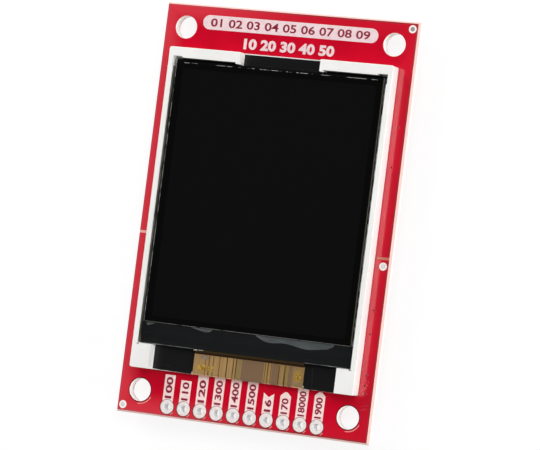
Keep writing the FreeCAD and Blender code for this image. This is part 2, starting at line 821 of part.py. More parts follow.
def socket_shell():
    """The stamped steel cover: one folded sheet with solder lugs, a thumb cut at its
    mouth and two springs lanced from its top."""
    height = TALLEST - LAND_PROUD
    half = SHELL_T / 2
    side = SOCKET_W / 2 - half
    path = [(-side, 0), (-side, height - half), (side, height - half), (side, 0)]
    sheet = bent_sheet(path, [SHELL_BEND_R] * 2, SHELL_T, SOCKET_D)
    sheet.rotate(vec(0, 0), vec(0, 0, 1), 90)
    mouth = SOCKET_D / 2
    above = height + 1
    under = height - SHELL_T - 0.1
    tools = [block(-THUMB_W / 2, THUMB_W / 2, mouth - THUMB_D, mouth + 1, under, above)]
    lug_ends = (mouth - 2 * SHELL_LUG_W, -mouth + SHELL_LUG_W)
    window_low = BASE_FLOOR_T + SHELL_T
    for way in (-1, 1):
        x = way * SOCKET_W / 2
        tools.append(block(x - 1, x + 1, lug_ends[1], lug_ends[0] + SHELL_LUG_W,
                           -1, BASE_FLOOR_T / 2))
        tools.append(block(x - 1, x + 1, -SPRING_L / 2, SPRING_L / 4, window_low,
                           window_low + SHELL_T * 2))
        for end in lug_ends:
            tools.append(block(x - 1, x + 1, end, end + SHELL_LUG_W, -1, BASE_FLOOR_T))
    for spring_x in (-SPRING_SPREAD / 2, SPRING_SPREAD / 2):
        front = mouth - SPRING_SETBACK
        outer = SPRING_W / 2 + SPRING_SLOT
        hole = block(spring_x - outer, spring_x + outer, front - SPRING_L, front,
                     under, above)
        tongue = block(spring_x - SPRING_W / 2, spring_x + SPRING_W / 2,
                       front - SPRING_L, front - SPRING_SLOT, under, above)
        tools.append(hole.cut(tongue))
    shell = cut_all(sheet, tools)
    rear = block(-side + SHELL_T, side - SHELL_T, -mouth, -mouth + SHELL_T,
                 height - 2 * SHELL_T - SHELL_BEND_R, height - half)
    lug = bent_sheet([(side, BASE_FLOOR_T), (side, half),
                      (SOCKET_W / 2 + SHELL_LUG_L, half)], [SHELL_BEND_R], SHELL_T,
                     SHELL_LUG_W)
    lugs = []
    for way in (-1, 1):
        for end in lug_ends:
            turned = lug.copy()
            turned.rotate(vec(0, 0), vec(0, 0, 1), -90 * way)
            lugs.append(turned.translated(vec(0, end + SHELL_LUG_W / 2, 0)))
    shell = shell.fuse([rear] + lugs).removeSplitter()
    dimples = []
    for spring_x in (-SPRING_SPREAD / 2, SPRING_SPREAD / 2):
        tip = mouth - SPRING_SETBACK - SPRING_SLOT - SPRING_W / 2
        ball_r = (SPRING_W ** 2 / 16 + SPRING_DROP ** 2) / (2 * SPRING_DROP)
        ball = Part.makeSphere(ball_r, vec(spring_x, tip,
                                           height - SHELL_T - SPRING_DROP + ball_r))
        dimples.append(ball.common(block(spring_x - 1, spring_x + 1, tip - 1, tip + 1,
                                         0, height - SHELL_T / 2)))
    return shell.fuse(dimples)


def contact_xs():
    """Where the spring contacts sit across the card."""
    return [(index - (CONTACT_COUNT - 1) / 2) * CONTACT_PITCH
            for index in range(CONTACT_COUNT)]


def socket_base():
    """The black moulding under the card: a slotted floor between two side rails."""
    height = TALLEST - LAND_PROUD - SHELL_T - BASE_GAP
    outer = SOCKET_W / 2 - SHELL_T - BASE_GAP
    channel = CARD_W / 2 + CARD_GAP
    front = SOCKET_D / 2 - SHELL_T
    rear = -SOCKET_D / 2 + SHELL_T + BASE_GAP
    body = block(-outer, outer, rear, front, 0, height - SHELL_BEND_R)
    rails = block(-outer + SHELL_BEND_R, outer - SHELL_BEND_R, rear, front, 0, height)
    body = body.fuse(rails)
    tools = [block(-channel, channel, rear + SHELL_T * 4, front + 1,
                   BASE_FLOOR_T, height + 1)]
    slot = CONTACT_W / 2 + CONTACT_SLOT_GAP
    for x in contact_xs():
        tools.append(block(x - slot, x + slot, rear - 1, rear + CONTACT_SLOT_L,
                           CONTACT_T, BASE_FLOOR_T + 1))
    tools.append(block(-channel, channel, front - THUMB_D, front + 1,
                       BASE_FLOOR_T / 2, BASE_FLOOR_T + 1))
    return cut_all(body, tools).removeSplitter()


def socket_contacts():
    """Eight sprung strips: a tail on its land, a leg in its slot and a crest that
    presses on the card."""
    half = CONTACT_T / 2
    rear = -SOCKET_D / 2
    lift = CONTACT_T + half + 0.02
    crest = BASE_FLOOR_T + CONTACT_RISE
    path = [(rear - CONTACT_TAIL, half),
            (rear - CONTACT_TAIL / 3, half),
            (rear + CONTACT_TAIL / 3, lift),
            (rear + CONTACT_SLOT_L * 0.45, lift),
            (rear + CONTACT_SLOT_L * 0.80, crest),
            (rear + CONTACT_SLOT_L * 0.97, crest - CONTACT_RISE / 2)]
    strip = bent_sheet(path, [CONTACT_BEND_R] * (len(path) - 2), CONTACT_T, CONTACT_W)
    return group([strip.translated(vec(x, 0, 0)) for x in contact_xs()])


# Gull-wing packages, modelled on a floor at z = 0 with the leads along X

def package_body(length, width, height):
    """A moulded body with draft above and below the lead line, and a dimple at pin 1."""
    middle = BODY_STANDOFF + (height - BODY_STANDOFF) / 2

    def layer(inset, z):
        x = length / 2 - inset
        y = width / 2 - inset
        points = [(-x, -y), (x, -y), (x, y), (-x, y), (-x, -y)]
        return Part.makePolygon([vec(px, py, z) for px, py in points])

    levels = [(BODY_DRAFT, BODY_STANDOFF), (0, middle), (BODY_DRAFT, height)]
    body = Part.makeLoft([layer(inset, z) for inset, z in levels], True, True)
    dimple_r = width / 12
    dimple = rod(-length / 2 + 3 * dimple_r, -width / 2 + 3 * dimple_r, dimple_r,
                 height - BODY_DRAFT / 2, height + 1)
    return body.cut(dimple), middle


def gull_lead(x, side, width, body_width, span, middle):
    """One lead from the body's side, down to its foot on the board."""
    half = LEAD_T / 2
    root = body_width / 2 - BODY_DRAFT / 4
    knee = span / 2 - LEAD_FOOT
    path = [(root, middle), (knee, middle), (knee, half), (span / 2, half)]
    radius = min(LEAD_BEND_R, (middle - half) / 2, (knee - root) * 0.9)
    lead = bent_sheet(path, [radius] * 2, LEAD_T, width)
    if side < 0:
        lead.rotate(vec(0, 0), vec(0, 0, 1), 180)
    return lead.translated(vec(x, 0, 0))


def gull_package(length, width, height, span, lead_w, upper_xs, lower_xs):
    """A package as its body, its leads and the lands under its feet."""
    body, middle = package_body(length, width, height)
    leads = []
    lands = []
    for side, xs in ((1, upper_xs), (-1, lower_xs)):
        for x in xs:
            leads.append(gull_lead(x, side, lead_w, width, span, middle))
            ys = sorted((side * (span / 2 - LEAD_FOOT - LAND_MARGIN / 2),
                         side * (span / 2 + LAND_MARGIN * 2)))
            grow = LAND_MARGIN / 4
            lands.append((x - lead_w / 2 - grow, x + lead_w / 2 + grow, ys[0], ys[1]))
    tool = Part.makeCompound(leads)
    return body.cut(tool), group(leads), lands


def row(count, pitch):
    """Evenly spaced places about zero."""
    return [(index - (count - 1) / 2) * pitch for index in range(count)]


def level_shifter():
    """A sixteen lead logic chip."""
    xs = row(8, SHIFTER_PITCH)
    return gull_package(SHIFTER_L, SHIFTER_W, SHIFTER_T, SHIFTER_SPAN, SHIFTER_LEAD_W,
                        xs, xs)


def regulator():
    """A five lead voltage regulator."""
    xs = row(3, SMALL_LEAD_PITCH)
    return gull_package(REGULATOR_L, REGULATOR_W, REGULATOR_T, REGULATOR_SPAN,
                        SMALL_LEAD_W, [xs[0], xs[2]], xs)


def backlight_switch():
    """A three lead transistor."""
    xs = row(3, SMALL_LEAD_PITCH)
    return gull_package(SWITCH_L, SWITCH_W, SWITCH_T, SWITCH_SPAN, SMALL_LEAD_W,
                        [xs[1]], [xs[0], xs[2]])


# Two-terminal parts, modelled on a floor at z = 0 along X

def bulk_capacitor():
    """A moulded block with a metal strap that wraps each end and foot."""
    height = TALLEST - LAND_PROUD
    foot = BULK_TERMINAL_T
    length = BULK_L / 2 - BULK_TERMINAL_T
    middle = height / 2

    def layer(inset, z):
        x = length - inset
        y = BULK_W / 2 - inset
        points = [(-x, -y), (x, -y), (x, y), (-x, y), (-x, -y)]
        return Part.makePolygon([vec(px, py, z) for px, py in points])

    levels = [(BULK_DRAFT / 2, foot), (0, middle), (BULK_DRAFT, height)]
    body = Part.makeLoft([layer(inset, z) for inset, z in levels], True, True)
    half = BULK_TERMINAL_T / 2
    path = [(length - BULK_DRAFT, middle), (length + half, middle),
            (length + half, half), (length - BULK_TERMINAL_FOOT, half)]
    strap = bent_sheet(path, [BULK_BEND_R / 2 + half / 2, BULK_BEND_R],
                       BULK_TERMINAL_T, BULK_TERMINAL_W)
    straps = []
    lands = []
    for way in (90, -90):
        turned = strap.copy()
        turned.rotate(vec(0, 0), vec(0, 0, 1), way)
        straps.append(turned)
        side = -1 if way > 0 else 1
        xs = sorted((side * (length - BULK_TERMINAL_FOOT - LAND_MARGIN),
                     side * (BULK_L / 2 + 3 * LAND_MARGIN)))
        y = BULK_TERMINAL_W / 2 + LAND_MARGIN
        lands.append((xs[0], xs[1], -y, y))
    return body.cut(Part.makeCompound(straps)), group(straps), lands


def chip_part(height):
    """A ceramic chip as its bare block, its two wrapped end caps and their lands."""
    half = CHIP_PART_L / 2
    y = CHIP_PART_W / 2
    inner = block(-half + END_CAP_T, half - END_CAP_T, -y + END_CAP_T, y - END_CAP_T,
                  END_CAP_T, height - END_CAP_T)
    caps = []
    lands = []
    for side in (-1, 1):
        xs = sorted((side * half, side * (half - END_CAP_L)))
        caps.append(block(xs[0], xs[1], -y, y, 0, height).cut(inner))
        xs = sorted((side * (half + 3 * LAND_MARGIN), side * (half - END_CAP_L - LAND_MARGIN)))
        lands.append((xs[0], xs[1], -y - LAND_MARGIN / 2, y + LAND_MARGIN / 2))
    return inner, group(caps), lands


def turned_land(land, turn):
    """A land's rectangle after a quarter or half turn about the part's middle."""
    angle = math.radians(turn)
    corners = []
    for x in land[:2]:
        for y in land[2:]:
            corners.append((x * math.cos(angle) - y * math.sin(angle),
                            x * math.sin(angle) + y * math.cos(angle)))
    xs = [corner[0] for corner in corners]
    ys = [corner[1] for corner in corners]
    return min(xs), max(xs), min(ys), max(ys)


def set_land(land, x, y, turn):
    """A land's rectangle on the board, seen from the front."""
    low_x, high_x, low_y, high_y = turned_land(land, turn)
    return x - high_x, x - low_x, y + low_y, y + high_y


def land_block(land, z0, z1):
    """The solder land itself, or the tool that opens the coat over it."""
    return block(land[0], land[1], land[2], land[3], z0, z1)


def chip_places():
    """Where the resistors and the ceramic capacitors sit, with their turns."""
    resistors = [(x, resistor_row_y, 90) for x in row(RESISTOR_COUNT, RESISTOR_PITCH)]
    ceramics = [(x, ceramic_row_y, 0) for x in row(2, CERAMIC_SPREAD)]
    ceramics += [(x, low_row_y, 90) for x in (-ceramic_low_x, ceramic_low_x)]
    return resistors, ceramics


def back_parts():
    """Every part on the back, by name, and the solder lands that they need."""
    nodes = {}
    lands = []

    def place(pieces, part_lands, x, y, turn=0):
        for name, shape in pieces.items():
            nodes.setdefault(name, []).append(on_back(shape, x, y, turn))
        lands.extend(set_land(land, x, y, turn) for land in part_lands)

    socket_lands = []
    mouth = SOCKET_D / 2
    for side in (-1, 1):
        for end in (mouth - 2 * SHELL_LUG_W, -mouth + SHELL_LUG_W):
            xs = sorted((side * (SOCKET_W / 2 - SHELL_T),
                         side * (SOCKET_W / 2 + SHELL_LUG_L + LAND_MARGIN)))
            socket_lands.append((xs[0], xs[1], end - LAND_MARGIN,
                                 end + SHELL_LUG_W + LAND_MARGIN))
    for x in contact_xs():
        wide = CONTACT_W / 2 + LAND_MARGIN / 2
        socket_lands.append((x - wide, x + wide, -mouth - CONTACT_TAIL - LAND_MARGIN,
                             -mouth - LAND_MARGIN))
    place({"card_socket_shell": socket_shell(), "card_socket_base": socket_base(),
           "card_socket_contacts": socket_contacts()}, socket_lands, 0,
          (socket_mouth + socket_rear) / 2)
    for name, x in (("left", -shifter_x), ("right", shifter_x)):
        body, leads, part_lands = level_shifter()
        place({name + "_level_shifter_body": body, name + "_level_shifter_leads": leads},
              part_lands, x, shifter_y, 90)
    body, leads, part_lands = regulator()
    place({"regulator_body": body, "regulator_leads": leads}, part_lands,
          -regulator_x, low_row_y, 90)
    body, leads, part_lands = backlight_switch()
    place({"backlight_switch_body": body, "backlight_switch_leads": leads}, part_lands,
          bulk_x - SWITCH_GAP, low_row_y + SWITCH_RISE)
    body, straps, part_lands = bulk_capacitor()
    for name, x in (("left", -bulk_x), ("right", bulk_x)):
        place({name + "_bulk_capacitor_body": body,
               name + "_bulk_capacitor_straps": straps}, part_lands, x, low_row_y, 90)
    resistors, ceramics = chip_places()
    for names, height, places in ((("resistor_bodies", "resistor_end_caps"),
                                   RESISTOR_T, resistors),
                                  (("ceramic_capacitor_bodies",
                                    "ceramic_capacitor_end_caps"), CERAMIC_T, ceramics)):
        inner, caps, part_lands = chip_part(height)
        for x, y, turn in places:
            place(dict(zip(names, (inner, caps))), part_lands, x, y, turn)
    return {name: group(shapes) for name, shapes in nodes.items()}, lands


def build():
    """Every node of the module by name."""
    nodes, lands = back_parts()
    nodes["solder_lands"] = group([land_block(land, back_z - LAND_PROUD, core_low)
                                   for land in lands])
    nodes["circuit_board"] = board_core()
    nodes["solder_mask_front"] = front_mask()
    nodes["solder_mask_back"] = back_mask(lands)
    for index in range(PIN_COUNT):
        nodes["header_pad_%02d" % (index + 1)] = header_pad(index)
    nodes["alignment_dots"] = alignment_dots()
    nodes["front_print"] = front_print()
    nodes["display_frame"] = display_frame()
    nodes["reflector_film"] = reflector_film()
    nodes["light_guide"] = light_guide()
    for layer, name in enumerate(("diffuser_film", "lower_prism_film",
                                  "upper_prism_film")):
        nodes[name] = film(layer)
    for index, x in enumerate(lamp_xs()):
        nodes["lamp_%d" % (index + 1)] = lamp(x)
    nodes["lamp_strip"] = lamp_strip()
    nodes["rim_tape"] = rim_tape()
    nodes["rear_polariser"] = rear_polariser()
    nodes["rear_glass"] = rear_glass()
    nodes["front_glass"] = front_glass()
    nodes["front_polariser"] = front_polariser()
    nodes["driver_chip"] = driver_chip()
    nodes["ledge_tape"] = ledge_tape()
    nodes["display_flex"] = display_flex()
    nodes["flex_gold_pads"] = flex_gold_pads()
    nodes["flex_solder_joints"] = group(joint_boxes(core_high, front_z + JOINT_T, 0))
    nodes["left_mounting_tape"] = mounting_tape(-1)
    nodes["right_mounting_tape"] = mounting_tape(1)
    return nodes


os.makedirs("parts", exist_ok=True)
for node_name, node_shape in sorted(build().items()):
    if not node_shape.isValid():
        raise ValueError(node_name + " is not a valid shape")
    node_shape.exportStep("parts/" + node_name + ".step")
    print(node_name, len(node_shape.Solids), "solids", round(node_shape.Volume, 3), "mm3")
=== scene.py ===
"""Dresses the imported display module: a finish for every solid, the fine relief and
print that the solids leave out, and a plain pale studio round it. Lengths are metres
unless a name says mm."""

import math

import bpy
import numpy as np
from mathutils import Euler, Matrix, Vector


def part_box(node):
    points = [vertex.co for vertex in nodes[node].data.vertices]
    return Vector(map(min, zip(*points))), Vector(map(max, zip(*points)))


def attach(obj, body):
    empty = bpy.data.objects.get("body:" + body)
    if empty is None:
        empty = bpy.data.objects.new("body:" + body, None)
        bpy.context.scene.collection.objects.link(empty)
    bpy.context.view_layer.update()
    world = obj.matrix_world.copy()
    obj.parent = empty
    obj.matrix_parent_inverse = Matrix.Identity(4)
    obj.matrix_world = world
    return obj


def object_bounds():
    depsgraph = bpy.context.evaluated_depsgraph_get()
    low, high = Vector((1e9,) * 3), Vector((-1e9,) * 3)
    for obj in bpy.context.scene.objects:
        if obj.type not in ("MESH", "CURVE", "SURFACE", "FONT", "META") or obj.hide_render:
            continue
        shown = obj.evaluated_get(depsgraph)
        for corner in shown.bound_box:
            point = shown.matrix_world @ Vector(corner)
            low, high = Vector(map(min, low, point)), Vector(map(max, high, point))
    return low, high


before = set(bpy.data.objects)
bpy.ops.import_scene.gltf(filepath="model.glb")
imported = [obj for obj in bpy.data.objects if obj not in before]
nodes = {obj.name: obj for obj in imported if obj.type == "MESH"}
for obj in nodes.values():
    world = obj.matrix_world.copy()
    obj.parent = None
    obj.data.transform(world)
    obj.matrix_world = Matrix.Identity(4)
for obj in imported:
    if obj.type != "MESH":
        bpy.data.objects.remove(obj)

bl_info = {
    "name": "Display module dresser",
    "version": (1, 0, 0),
    "blender": (4, 5, 0),
    "location": "3D View > Sidebar > Display module",
    "description": "Finishes, fine relief, print and studio for a small display module",
    "category": "Object",
}

MM = 0.001
cad_low, cad_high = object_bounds()
board_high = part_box("solder_mask_front")[1]
mask_z = board_high.z
print_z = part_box("front_print")[1].z
display_low, display_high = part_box("display_frame")
screen_low, screen_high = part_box("front_polariser")
tape_low, tape_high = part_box("ledge_tape")
glass_low, glass_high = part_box("front_glass")
flex_low, flex_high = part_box("display_flex")
gold_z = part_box("flex_gold_pads")[0].z
core_low, core_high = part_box("circuit_board")
apron_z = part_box("upper_prism_film")[1].z
TAN_TOP = tape_low.y - 0.63 * MM  # where the flex comes out of the step's shadow
PAD_NAMES = sorted(name for name in nodes if name.startswith("header_pad_"))
pad_boxes = [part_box(name) for name in PAD_NAMES]
PAD_CENTRES = np.array([[(low.x + high.x) / 2, (low.y + high.y) / 2]
                        for low, high in pad_boxes])
PAD_PITCH = float(PAD_CENTRES[1, 0] - PAD_CENTRES[0, 0])
PAD_RADIUS = (pad_boxes[0][1].x - pad_boxes[0][0].x) / 2
HOLE_RADIUS = 1.65 * MM
HOLE_PLACE = np.array([board_high.x, board_high.y]) - 3.175 * MM  # the upper right one


# Colours and shader nodes

def linear(hex_colour):
    """An sRGB hex colour, such as c80a26, as linear red, green, blue and alpha."""
    channels = [int(hex_colour[i:i + 2], 16) / 255 for i in (0, 2, 4)]
    return [c / 12.92 if c <= 0.04045 else ((c + 0.055) / 1.055) ** 2.4
            for c in channels] + [1.0]


def add_node(tree, kind, settings=None, links=None):
    """Adds a shader node. Settings are its own properties or unlinked inputs, by name or
    number; links give the output that feeds an input."""
    node = tree.nodes.new("ShaderNode" + kind)
    for name, value in (settings or {}).items():
        if isinstance(name, str) and hasattr(node, name):
            setattr(node, name, value)
        else:
            node.inputs[name].default_value = value
    for name, source in (links or {}).items():
        tree.links.new(source, node.inputs[name])
    return node


class Finish:
    """One material: a Principled shader with Object coordinates in metres beside it."""

    def __init__(self, name, colour, roughness, **sockets):
        self.material = bpy.data.materials.new(name)
        self.material.use_nodes = True
        self.tree = self.material.node_tree
        self.shader = self.tree.nodes["Principled BSDF"]
        self.shader.inputs["Base Color"].default_value = linear(colour)
        self.shader.inputs["Roughness"].default_value = roughness
        self.colour = colour
        for socket, value in sockets.items():
            self.shader.inputs[socket.replace("_", " ")].default_value = value
        self.place = self.add("TexCoord").outputs["Object"]

    def add(self, kind, settings=None, links=None):
        """A node in this material."""
        return add_node(self.tree, kind, settings, links)

    def math(self, operation, *values):
        """One sum on numbers or outputs."""
        node = self.add("Math", {"operation": operation})
        for index, value in enumerate(values):
            if isinstance(value, (int, float)):
                node.inputs[index].default_value = value
            else:
                self.tree.links.new(value, node.inputs[index])
        return node.outputs[0]

    def times(self, first, second):
        """The product of two numbers or outputs."""
        return self.math("MULTIPLY", first, second)

    def axis(self, letter):
        """One Object coordinate."""
        return self.add("SeparateXYZ", None, {"Vector": self.place}).outputs[letter]

    def off(self, letter, middle=0.0):
        """The distance from a middle along one axis."""
        return self.math("ABSOLUTE", self.math("SUBTRACT", self.axis(letter), middle))

    def distance(self, across, up):
        """The distance from two legs at right angles."""
        return self.math("SQRT", self.math("ADD", self.times(across, across),
                                           self.times(up, up)))

    def wave(self, letter, pitch_mm):
        """A sine wave along one axis, from -1 to 1."""
        turns = self.times(self.axis(letter), 2 * math.pi / (pitch_mm * MM))
        return self.math("SINE", turns)

    def facing(self, letter):
        """One part of the surface's own direction."""
        normal = self.add("NewGeometry").outputs["Normal"]
        return self.add("SeparateXYZ", None, {"Vector": normal}).outputs[letter]

    def spread(self, source, low, high):
        """Runs from 0 to 1 between two levels, with soft ends."""
        return self.add("MapRange", {"interpolation_type": "SMOOTHSTEP", "From Min": low,
                                     "From Max": high}, {"Value": source}).outputs[0]

    def ramp(self, letter, low, high):
        """Runs from 0 to 1 between two places on one axis."""
        return self.spread(self.axis(letter), low, high)

    def upright(self):
        """1 on faces that stand up, 0 on level ones."""
        return self.spread(self.math("ABSOLUTE", self.facing("Z")), 0.7, 0.3)

    def near_rim(self, start_mm, end_mm):
        """Runs from 0 to 1 between two distances from the board's rim."""
        return self.math("MAXIMUM", *[
            self.spread(self.off(letter), size - start_mm * MM, size - end_mm * MM)
            for letter, size in zip("XY", board_high)])

    def noise(self, size_mm, detail=2, stretch=(1, 1, 1)):
        """Cloudy noise with features about size_mm across, longer where stretched."""
        scale = [1 / (size_mm * MM * s) for s in stretch]
        turned = self.add("Mapping", {"Scale": scale}, {"Vector": self.place})
        return self.add("TexNoise", {"Scale": 1.0, "Detail": detail},
                        {"Vector": turned.outputs[0]}).outputs["Fac"]

    def cloud(self, size_mm, low=0.35, high=0.7, detail=2, stretch=(1, 1, 1)):
        """Noise whose levels from low to high are stretched to run from 0 to 1."""
        return self.spread(self.noise(size_mm, detail, stretch), low, high)

    def blend(self, share, first, second):
        """A colour between two, each a hex or an output."""
        node = self.add("Mix", {"data_type": "RGBA"}, {"Factor": share})
        for index, value in ((6, first), (7, second)):
            if isinstance(value, str):
                node.inputs[index].default_value = linear(value)
            else:
                self.tree.links.new(value, node.inputs[index])
        return node.outputs[2]

    def paint(self, share, first, second):
        """Feeds the base colour with a colour between two."""
        self.colour = self.blend(share, first, second)
        self.tree.links.new(self.colour, self.shader.inputs["Base Color"])
        return self

    def over(self, share, colour):
        """Lays a colour over what is painted already."""
        return self.paint(share, self.colour, colour)

    def gloss(self, source, low, high):
        """Lets the roughness run from low to high with a pattern."""
        mapped = self.add("MapRange", {"To Min": low, "To Max": high}, {"Value": source})
        self.tree.links.new(mapped.outputs[0], self.shader.inputs["Roughness"])
        return self

    def relief(self, source, depth_mm):
        """Turns a pattern into bump of a real depth, over what is there already."""
        bump = self.add("Bump", {"Strength": 1.0, "Distance": depth_mm * MM},
                        {"Height": source})
        before = self.shader.inputs["Normal"]
        if before.is_linked:
            self.tree.links.new(before.links[0].from_socket, bump.inputs["Normal"])
        self.tree.links.new(bump.outputs[0], before)
        return self

    def grain(self, size_mm, depth_mm, detail=2, stretch=(1, 1, 1)):
        """Bump from plain noise. A real grain finer than 0.05 mm is drawn at 0.05 mm or
        more, so that it shows in the render."""
        return self.relief(self.noise(size_mm, detail, stretch), depth_mm)


def glass_epoxy_laminate():
    """Glass cloth in epoxy, drilled, scored and snapped: pale plies with fibre ends, dull
    and a little furry, nearly white in the holes, and painted pink on the scored slopes,
    a painted glow standing for the red light of the mask. The fibres are drawn as bundles,
    coarse enough to show."""
    finish = Finish("glass_epoxy_laminate", "f8f1e6", 0.75, IOR=1.55)
    ply_mm, bundle_mm, slope_mm = 0.19, 0.12, 0.06
    half = (core_high.z - core_low.z) / 2
    fibres = finish.noise(bundle_mm, 3, (6, 6, 0.6))
    plies = finish.math("ADD", finish.times(finish.wave("Z", ply_mm), 0.25), fibres)
    lift = finish.off("Z", (core_low.z + core_high.z) / 2)
    # Painted glow: the scored slopes near the rim are painted pink for red light from the
    # mask, not for a colour of the laminate.
    glow = finish.times(finish.spread(lift, 0.30 * half, 0.45 * half),
                        finish.near_rim(slope_mm, slope_mm / 2))
    finish.paint(finish.spread(plies, 0.2, 0.9), "faf5ee", "ffffff")
    return finish.over(glow, "e9c0b8").grain(0.06, 0.02, 3).material


def solder_mask():
    """Liquid photoimaged solder mask, cured to a gloss over copper: deep red and smooth,
    pinker and thinner towards the board's rim, and browner where no copper lies under it,
    which is a strip along the rim and a ring round each header pad. Towards the left side
    the rim's pink and its strip are painted lighter, as painted light that falls there."""
    finish = Finish("liquid_solder_mask_red", "cb0427", 0.22, IOR=1.55, Coat_Weight=1.0,
                    Coat_Roughness=0.05, Coat_IOR=1.62)
    gap_mm, soft_mm = 0.20, 0.03
    bare = finish.near_rim(gap_mm + soft_mm, gap_mm)
    step = finish.math("FRACT", finish.times(finish.axis("X"), 1 / PAD_PITCH))
    along = finish.times(finish.math("SUBTRACT", step, 0.5), PAD_PITCH)
    down = finish.math("SUBTRACT", finish.axis("Y"), float(PAD_CENTRES[0, 1]))
    ring = PAD_RADIUS + gap_mm * MM
    near_pad = finish.spread(finish.distance(along, down), ring, ring - soft_mm * MM)
    in_row = finish.math("LESS_THAN", finish.off("X"), len(PAD_NAMES) / 2 * PAD_PITCH)
    rings = finish.times(near_pad, in_row)
    # Painted light: this ramp rises towards the board's left side and makes the rim's pink
    # and its bare strip lighter there, for the light that falls on that side.
    left = finish.ramp("X", 8 * MM, -17 * MM)
    pink = finish.times(finish.near_rim(3.4, 0.5),
                        finish.math("ADD", finish.times(left, 0.85), 0.15))
    finish.paint(finish.cloud(5.0, 0.3, 0.7), "c80324", "d20428").over(pink, "dc3644")
    finish.over(bare, finish.blend(left, "a42c34", "cc4552")).over(rings, "74202a")
    copper = finish.math("SUBTRACT", 1.0, finish.math("MAXIMUM", bare, rings))
    return finish.relief(copper, 0.008).grain(0.9, 0.002).material


def pooled_and_shade_mask():
    """Mask that sagged into a via: thick, so nearly black red. The same near black red on
    the ring at a hole's rim is painted shade, for the shade along the mask's step there."""
    return Finish("pooled_solder_mask_and_painted_shade", "4a0812", 0.75, IOR=1.55,
                  Specular_IOR_Level=0.1).material


def painted_highlight_mask():
    """Mask drawn thin over the shoulder of a copper edge, painted a glossy pale pink as a
    highlight on its slope.
    """
    return Finish("solder_mask_painted_highlight", "e39089", 0.3, IOR=1.55).material


def screen_ink():
    """Screen printed epoxy ink, cured thin: dull white, with the red of the mask glowing
    through in small clouds, pinker on the flags and thinnest in the margin lines."""
    finish = Finish("screen_printed_white_ink", "ecd3d5", 0.5, IOR=1.5)
    thin = finish.cloud(0.7, 0.35, 0.8)
    upper = finish.ramp("Y", -10 * MM, 10 * MM)
    margin = finish.spread(finish.off("X"), 16.5 * MM, 16.6 * MM)
    right = finish.math("GREATER_THAN", finish.axis("X"), 0.0)
    finish.paint(thin, "fbe2de", "f3d2cf")
    finish.over(upper, finish.blend(thin, "f0d9db", "e8cccf"))
    finish.over(margin, finish.blend(right, "efb3a6", "c97465"))
    return finish.grain(0.12, 0.004).material


def red_numeral_ink():
    """The mask seen through gaps in the print: a deep wine red, dark beside the white."""
    return Finish("mask_shown_through_print", "8c1834", 0.4,
                  IOR=1.55).grain(0.2, 0.002).material


def bright_tin():
    """Tin levelled by hot air: whitish, slightly uneven and softly reflecting. Its upright
    faces down in the holes are painted whiter, a painted light that lifts the shade there."""
    finish = Finish("hot_air_levelled_tin", "fbf3f0", 0.4, Metallic=0.1)
    cloud = finish.cloud(0.35)
    # Painted light: upright faces, the walls in the holes, are painted whiter against
    # their shade.
    finish.paint(cloud, "fff2ee", "f0e7e3").over(finish.upright(), "fbffff")
    return finish.gloss(cloud, 0.32, 0.5).grain(0.5, 0.012).material


def dull_tin():
    """The same tin on the small dots, worn unevenly: pale grey, and greyer on the top
    one."""
    finish = Finish("dulled_tin_dots", "dad5d3", 0.4, Metallic=0.1)
    finish.paint(finish.cloud(0.3), "ddd9d7", "ece9e7")
    return finish.over(finish.ramp("Y", 10 * MM, 20 * MM), "9c948e").material


def leaded_tin():
    """The tin on the parts' legs: plated bright, then dulled where it was soldered."""
    finish = Finish("plated_tin_legs", "d9d9d6", 0.35, Metallic=0.9)
    return finish.gloss(finish.noise(0.2), 0.25, 0.5).grain(0.2, 0.004).material


def white_polycarbonate():
    """Polycarbonate moulded in a fine textured tool: a clean slightly warm white with a
    soft sheen."""
    finish = Finish("moulded_white_polycarbonate", "f1f0ed", 0.42, IOR=1.58,
                    Subsurface_Weight=0.08, Subsurface_Scale=0.3 * MM)
    finish.paint(finish.cloud(5.0, 0.3, 0.7), "efeeeb", "f4f3f1")
    return finish.grain(0.07, 0.003).material


def polariser_film():
    """A dark polarising film with a hard coat: near black and glossy, a shade lighter
    over the picture area, with a painted highlight along its cut upper and lower edges:
    broken pale glints above and an unbroken grey line below."""
    finish = Finish("hard_coated_polarising_film", "0b0b0b", 0.1, IOR=1.49)
    border, soft = 0.85 * MM, 0.05 * MM
    cut_from, cut_to = 0.07 * MM, 0.05 * MM
    middle = (screen_high + screen_low) / 2
    half = (screen_high - screen_low) / 2
    up = finish.off("Y", middle.y)
    inside = finish.math("MINIMUM", *[
        finish.spread(reach, size - border, size - border - soft)
        for reach, size in ((finish.off("X", middle.x), half.x), (up, half.y))])
    chips_and_glints = finish.noise(0.5, 2, (1.5, 1, 1))
    cut = finish.spread(up, half.y - cut_from, half.y - cut_to)
    upper = finish.math("GREATER_THAN", finish.axis("Y"), middle.y)
    painted_glint_dashes = finish.times(finish.spread(chips_and_glints, 0.47, 0.6), upper)
    painted_glint_line = finish.times(finish.spread(chips_and_glints, 0.30, 0.52),
                          finish.math("SUBTRACT", 1.0, upper))
    # Painted highlights: pale broken strokes on the upper cut edge and a grey line on the
    # lower one stand for glints.
    finish.paint(inside, "080808", "0d0d0e").over(finish.times(cut, painted_glint_dashes), "a8a8a2")
    finish.over(finish.times(cut, painted_glint_line), "6e6f6b")
    return finish.gloss(finish.noise(3.0, 3), 0.07, 0.13).material


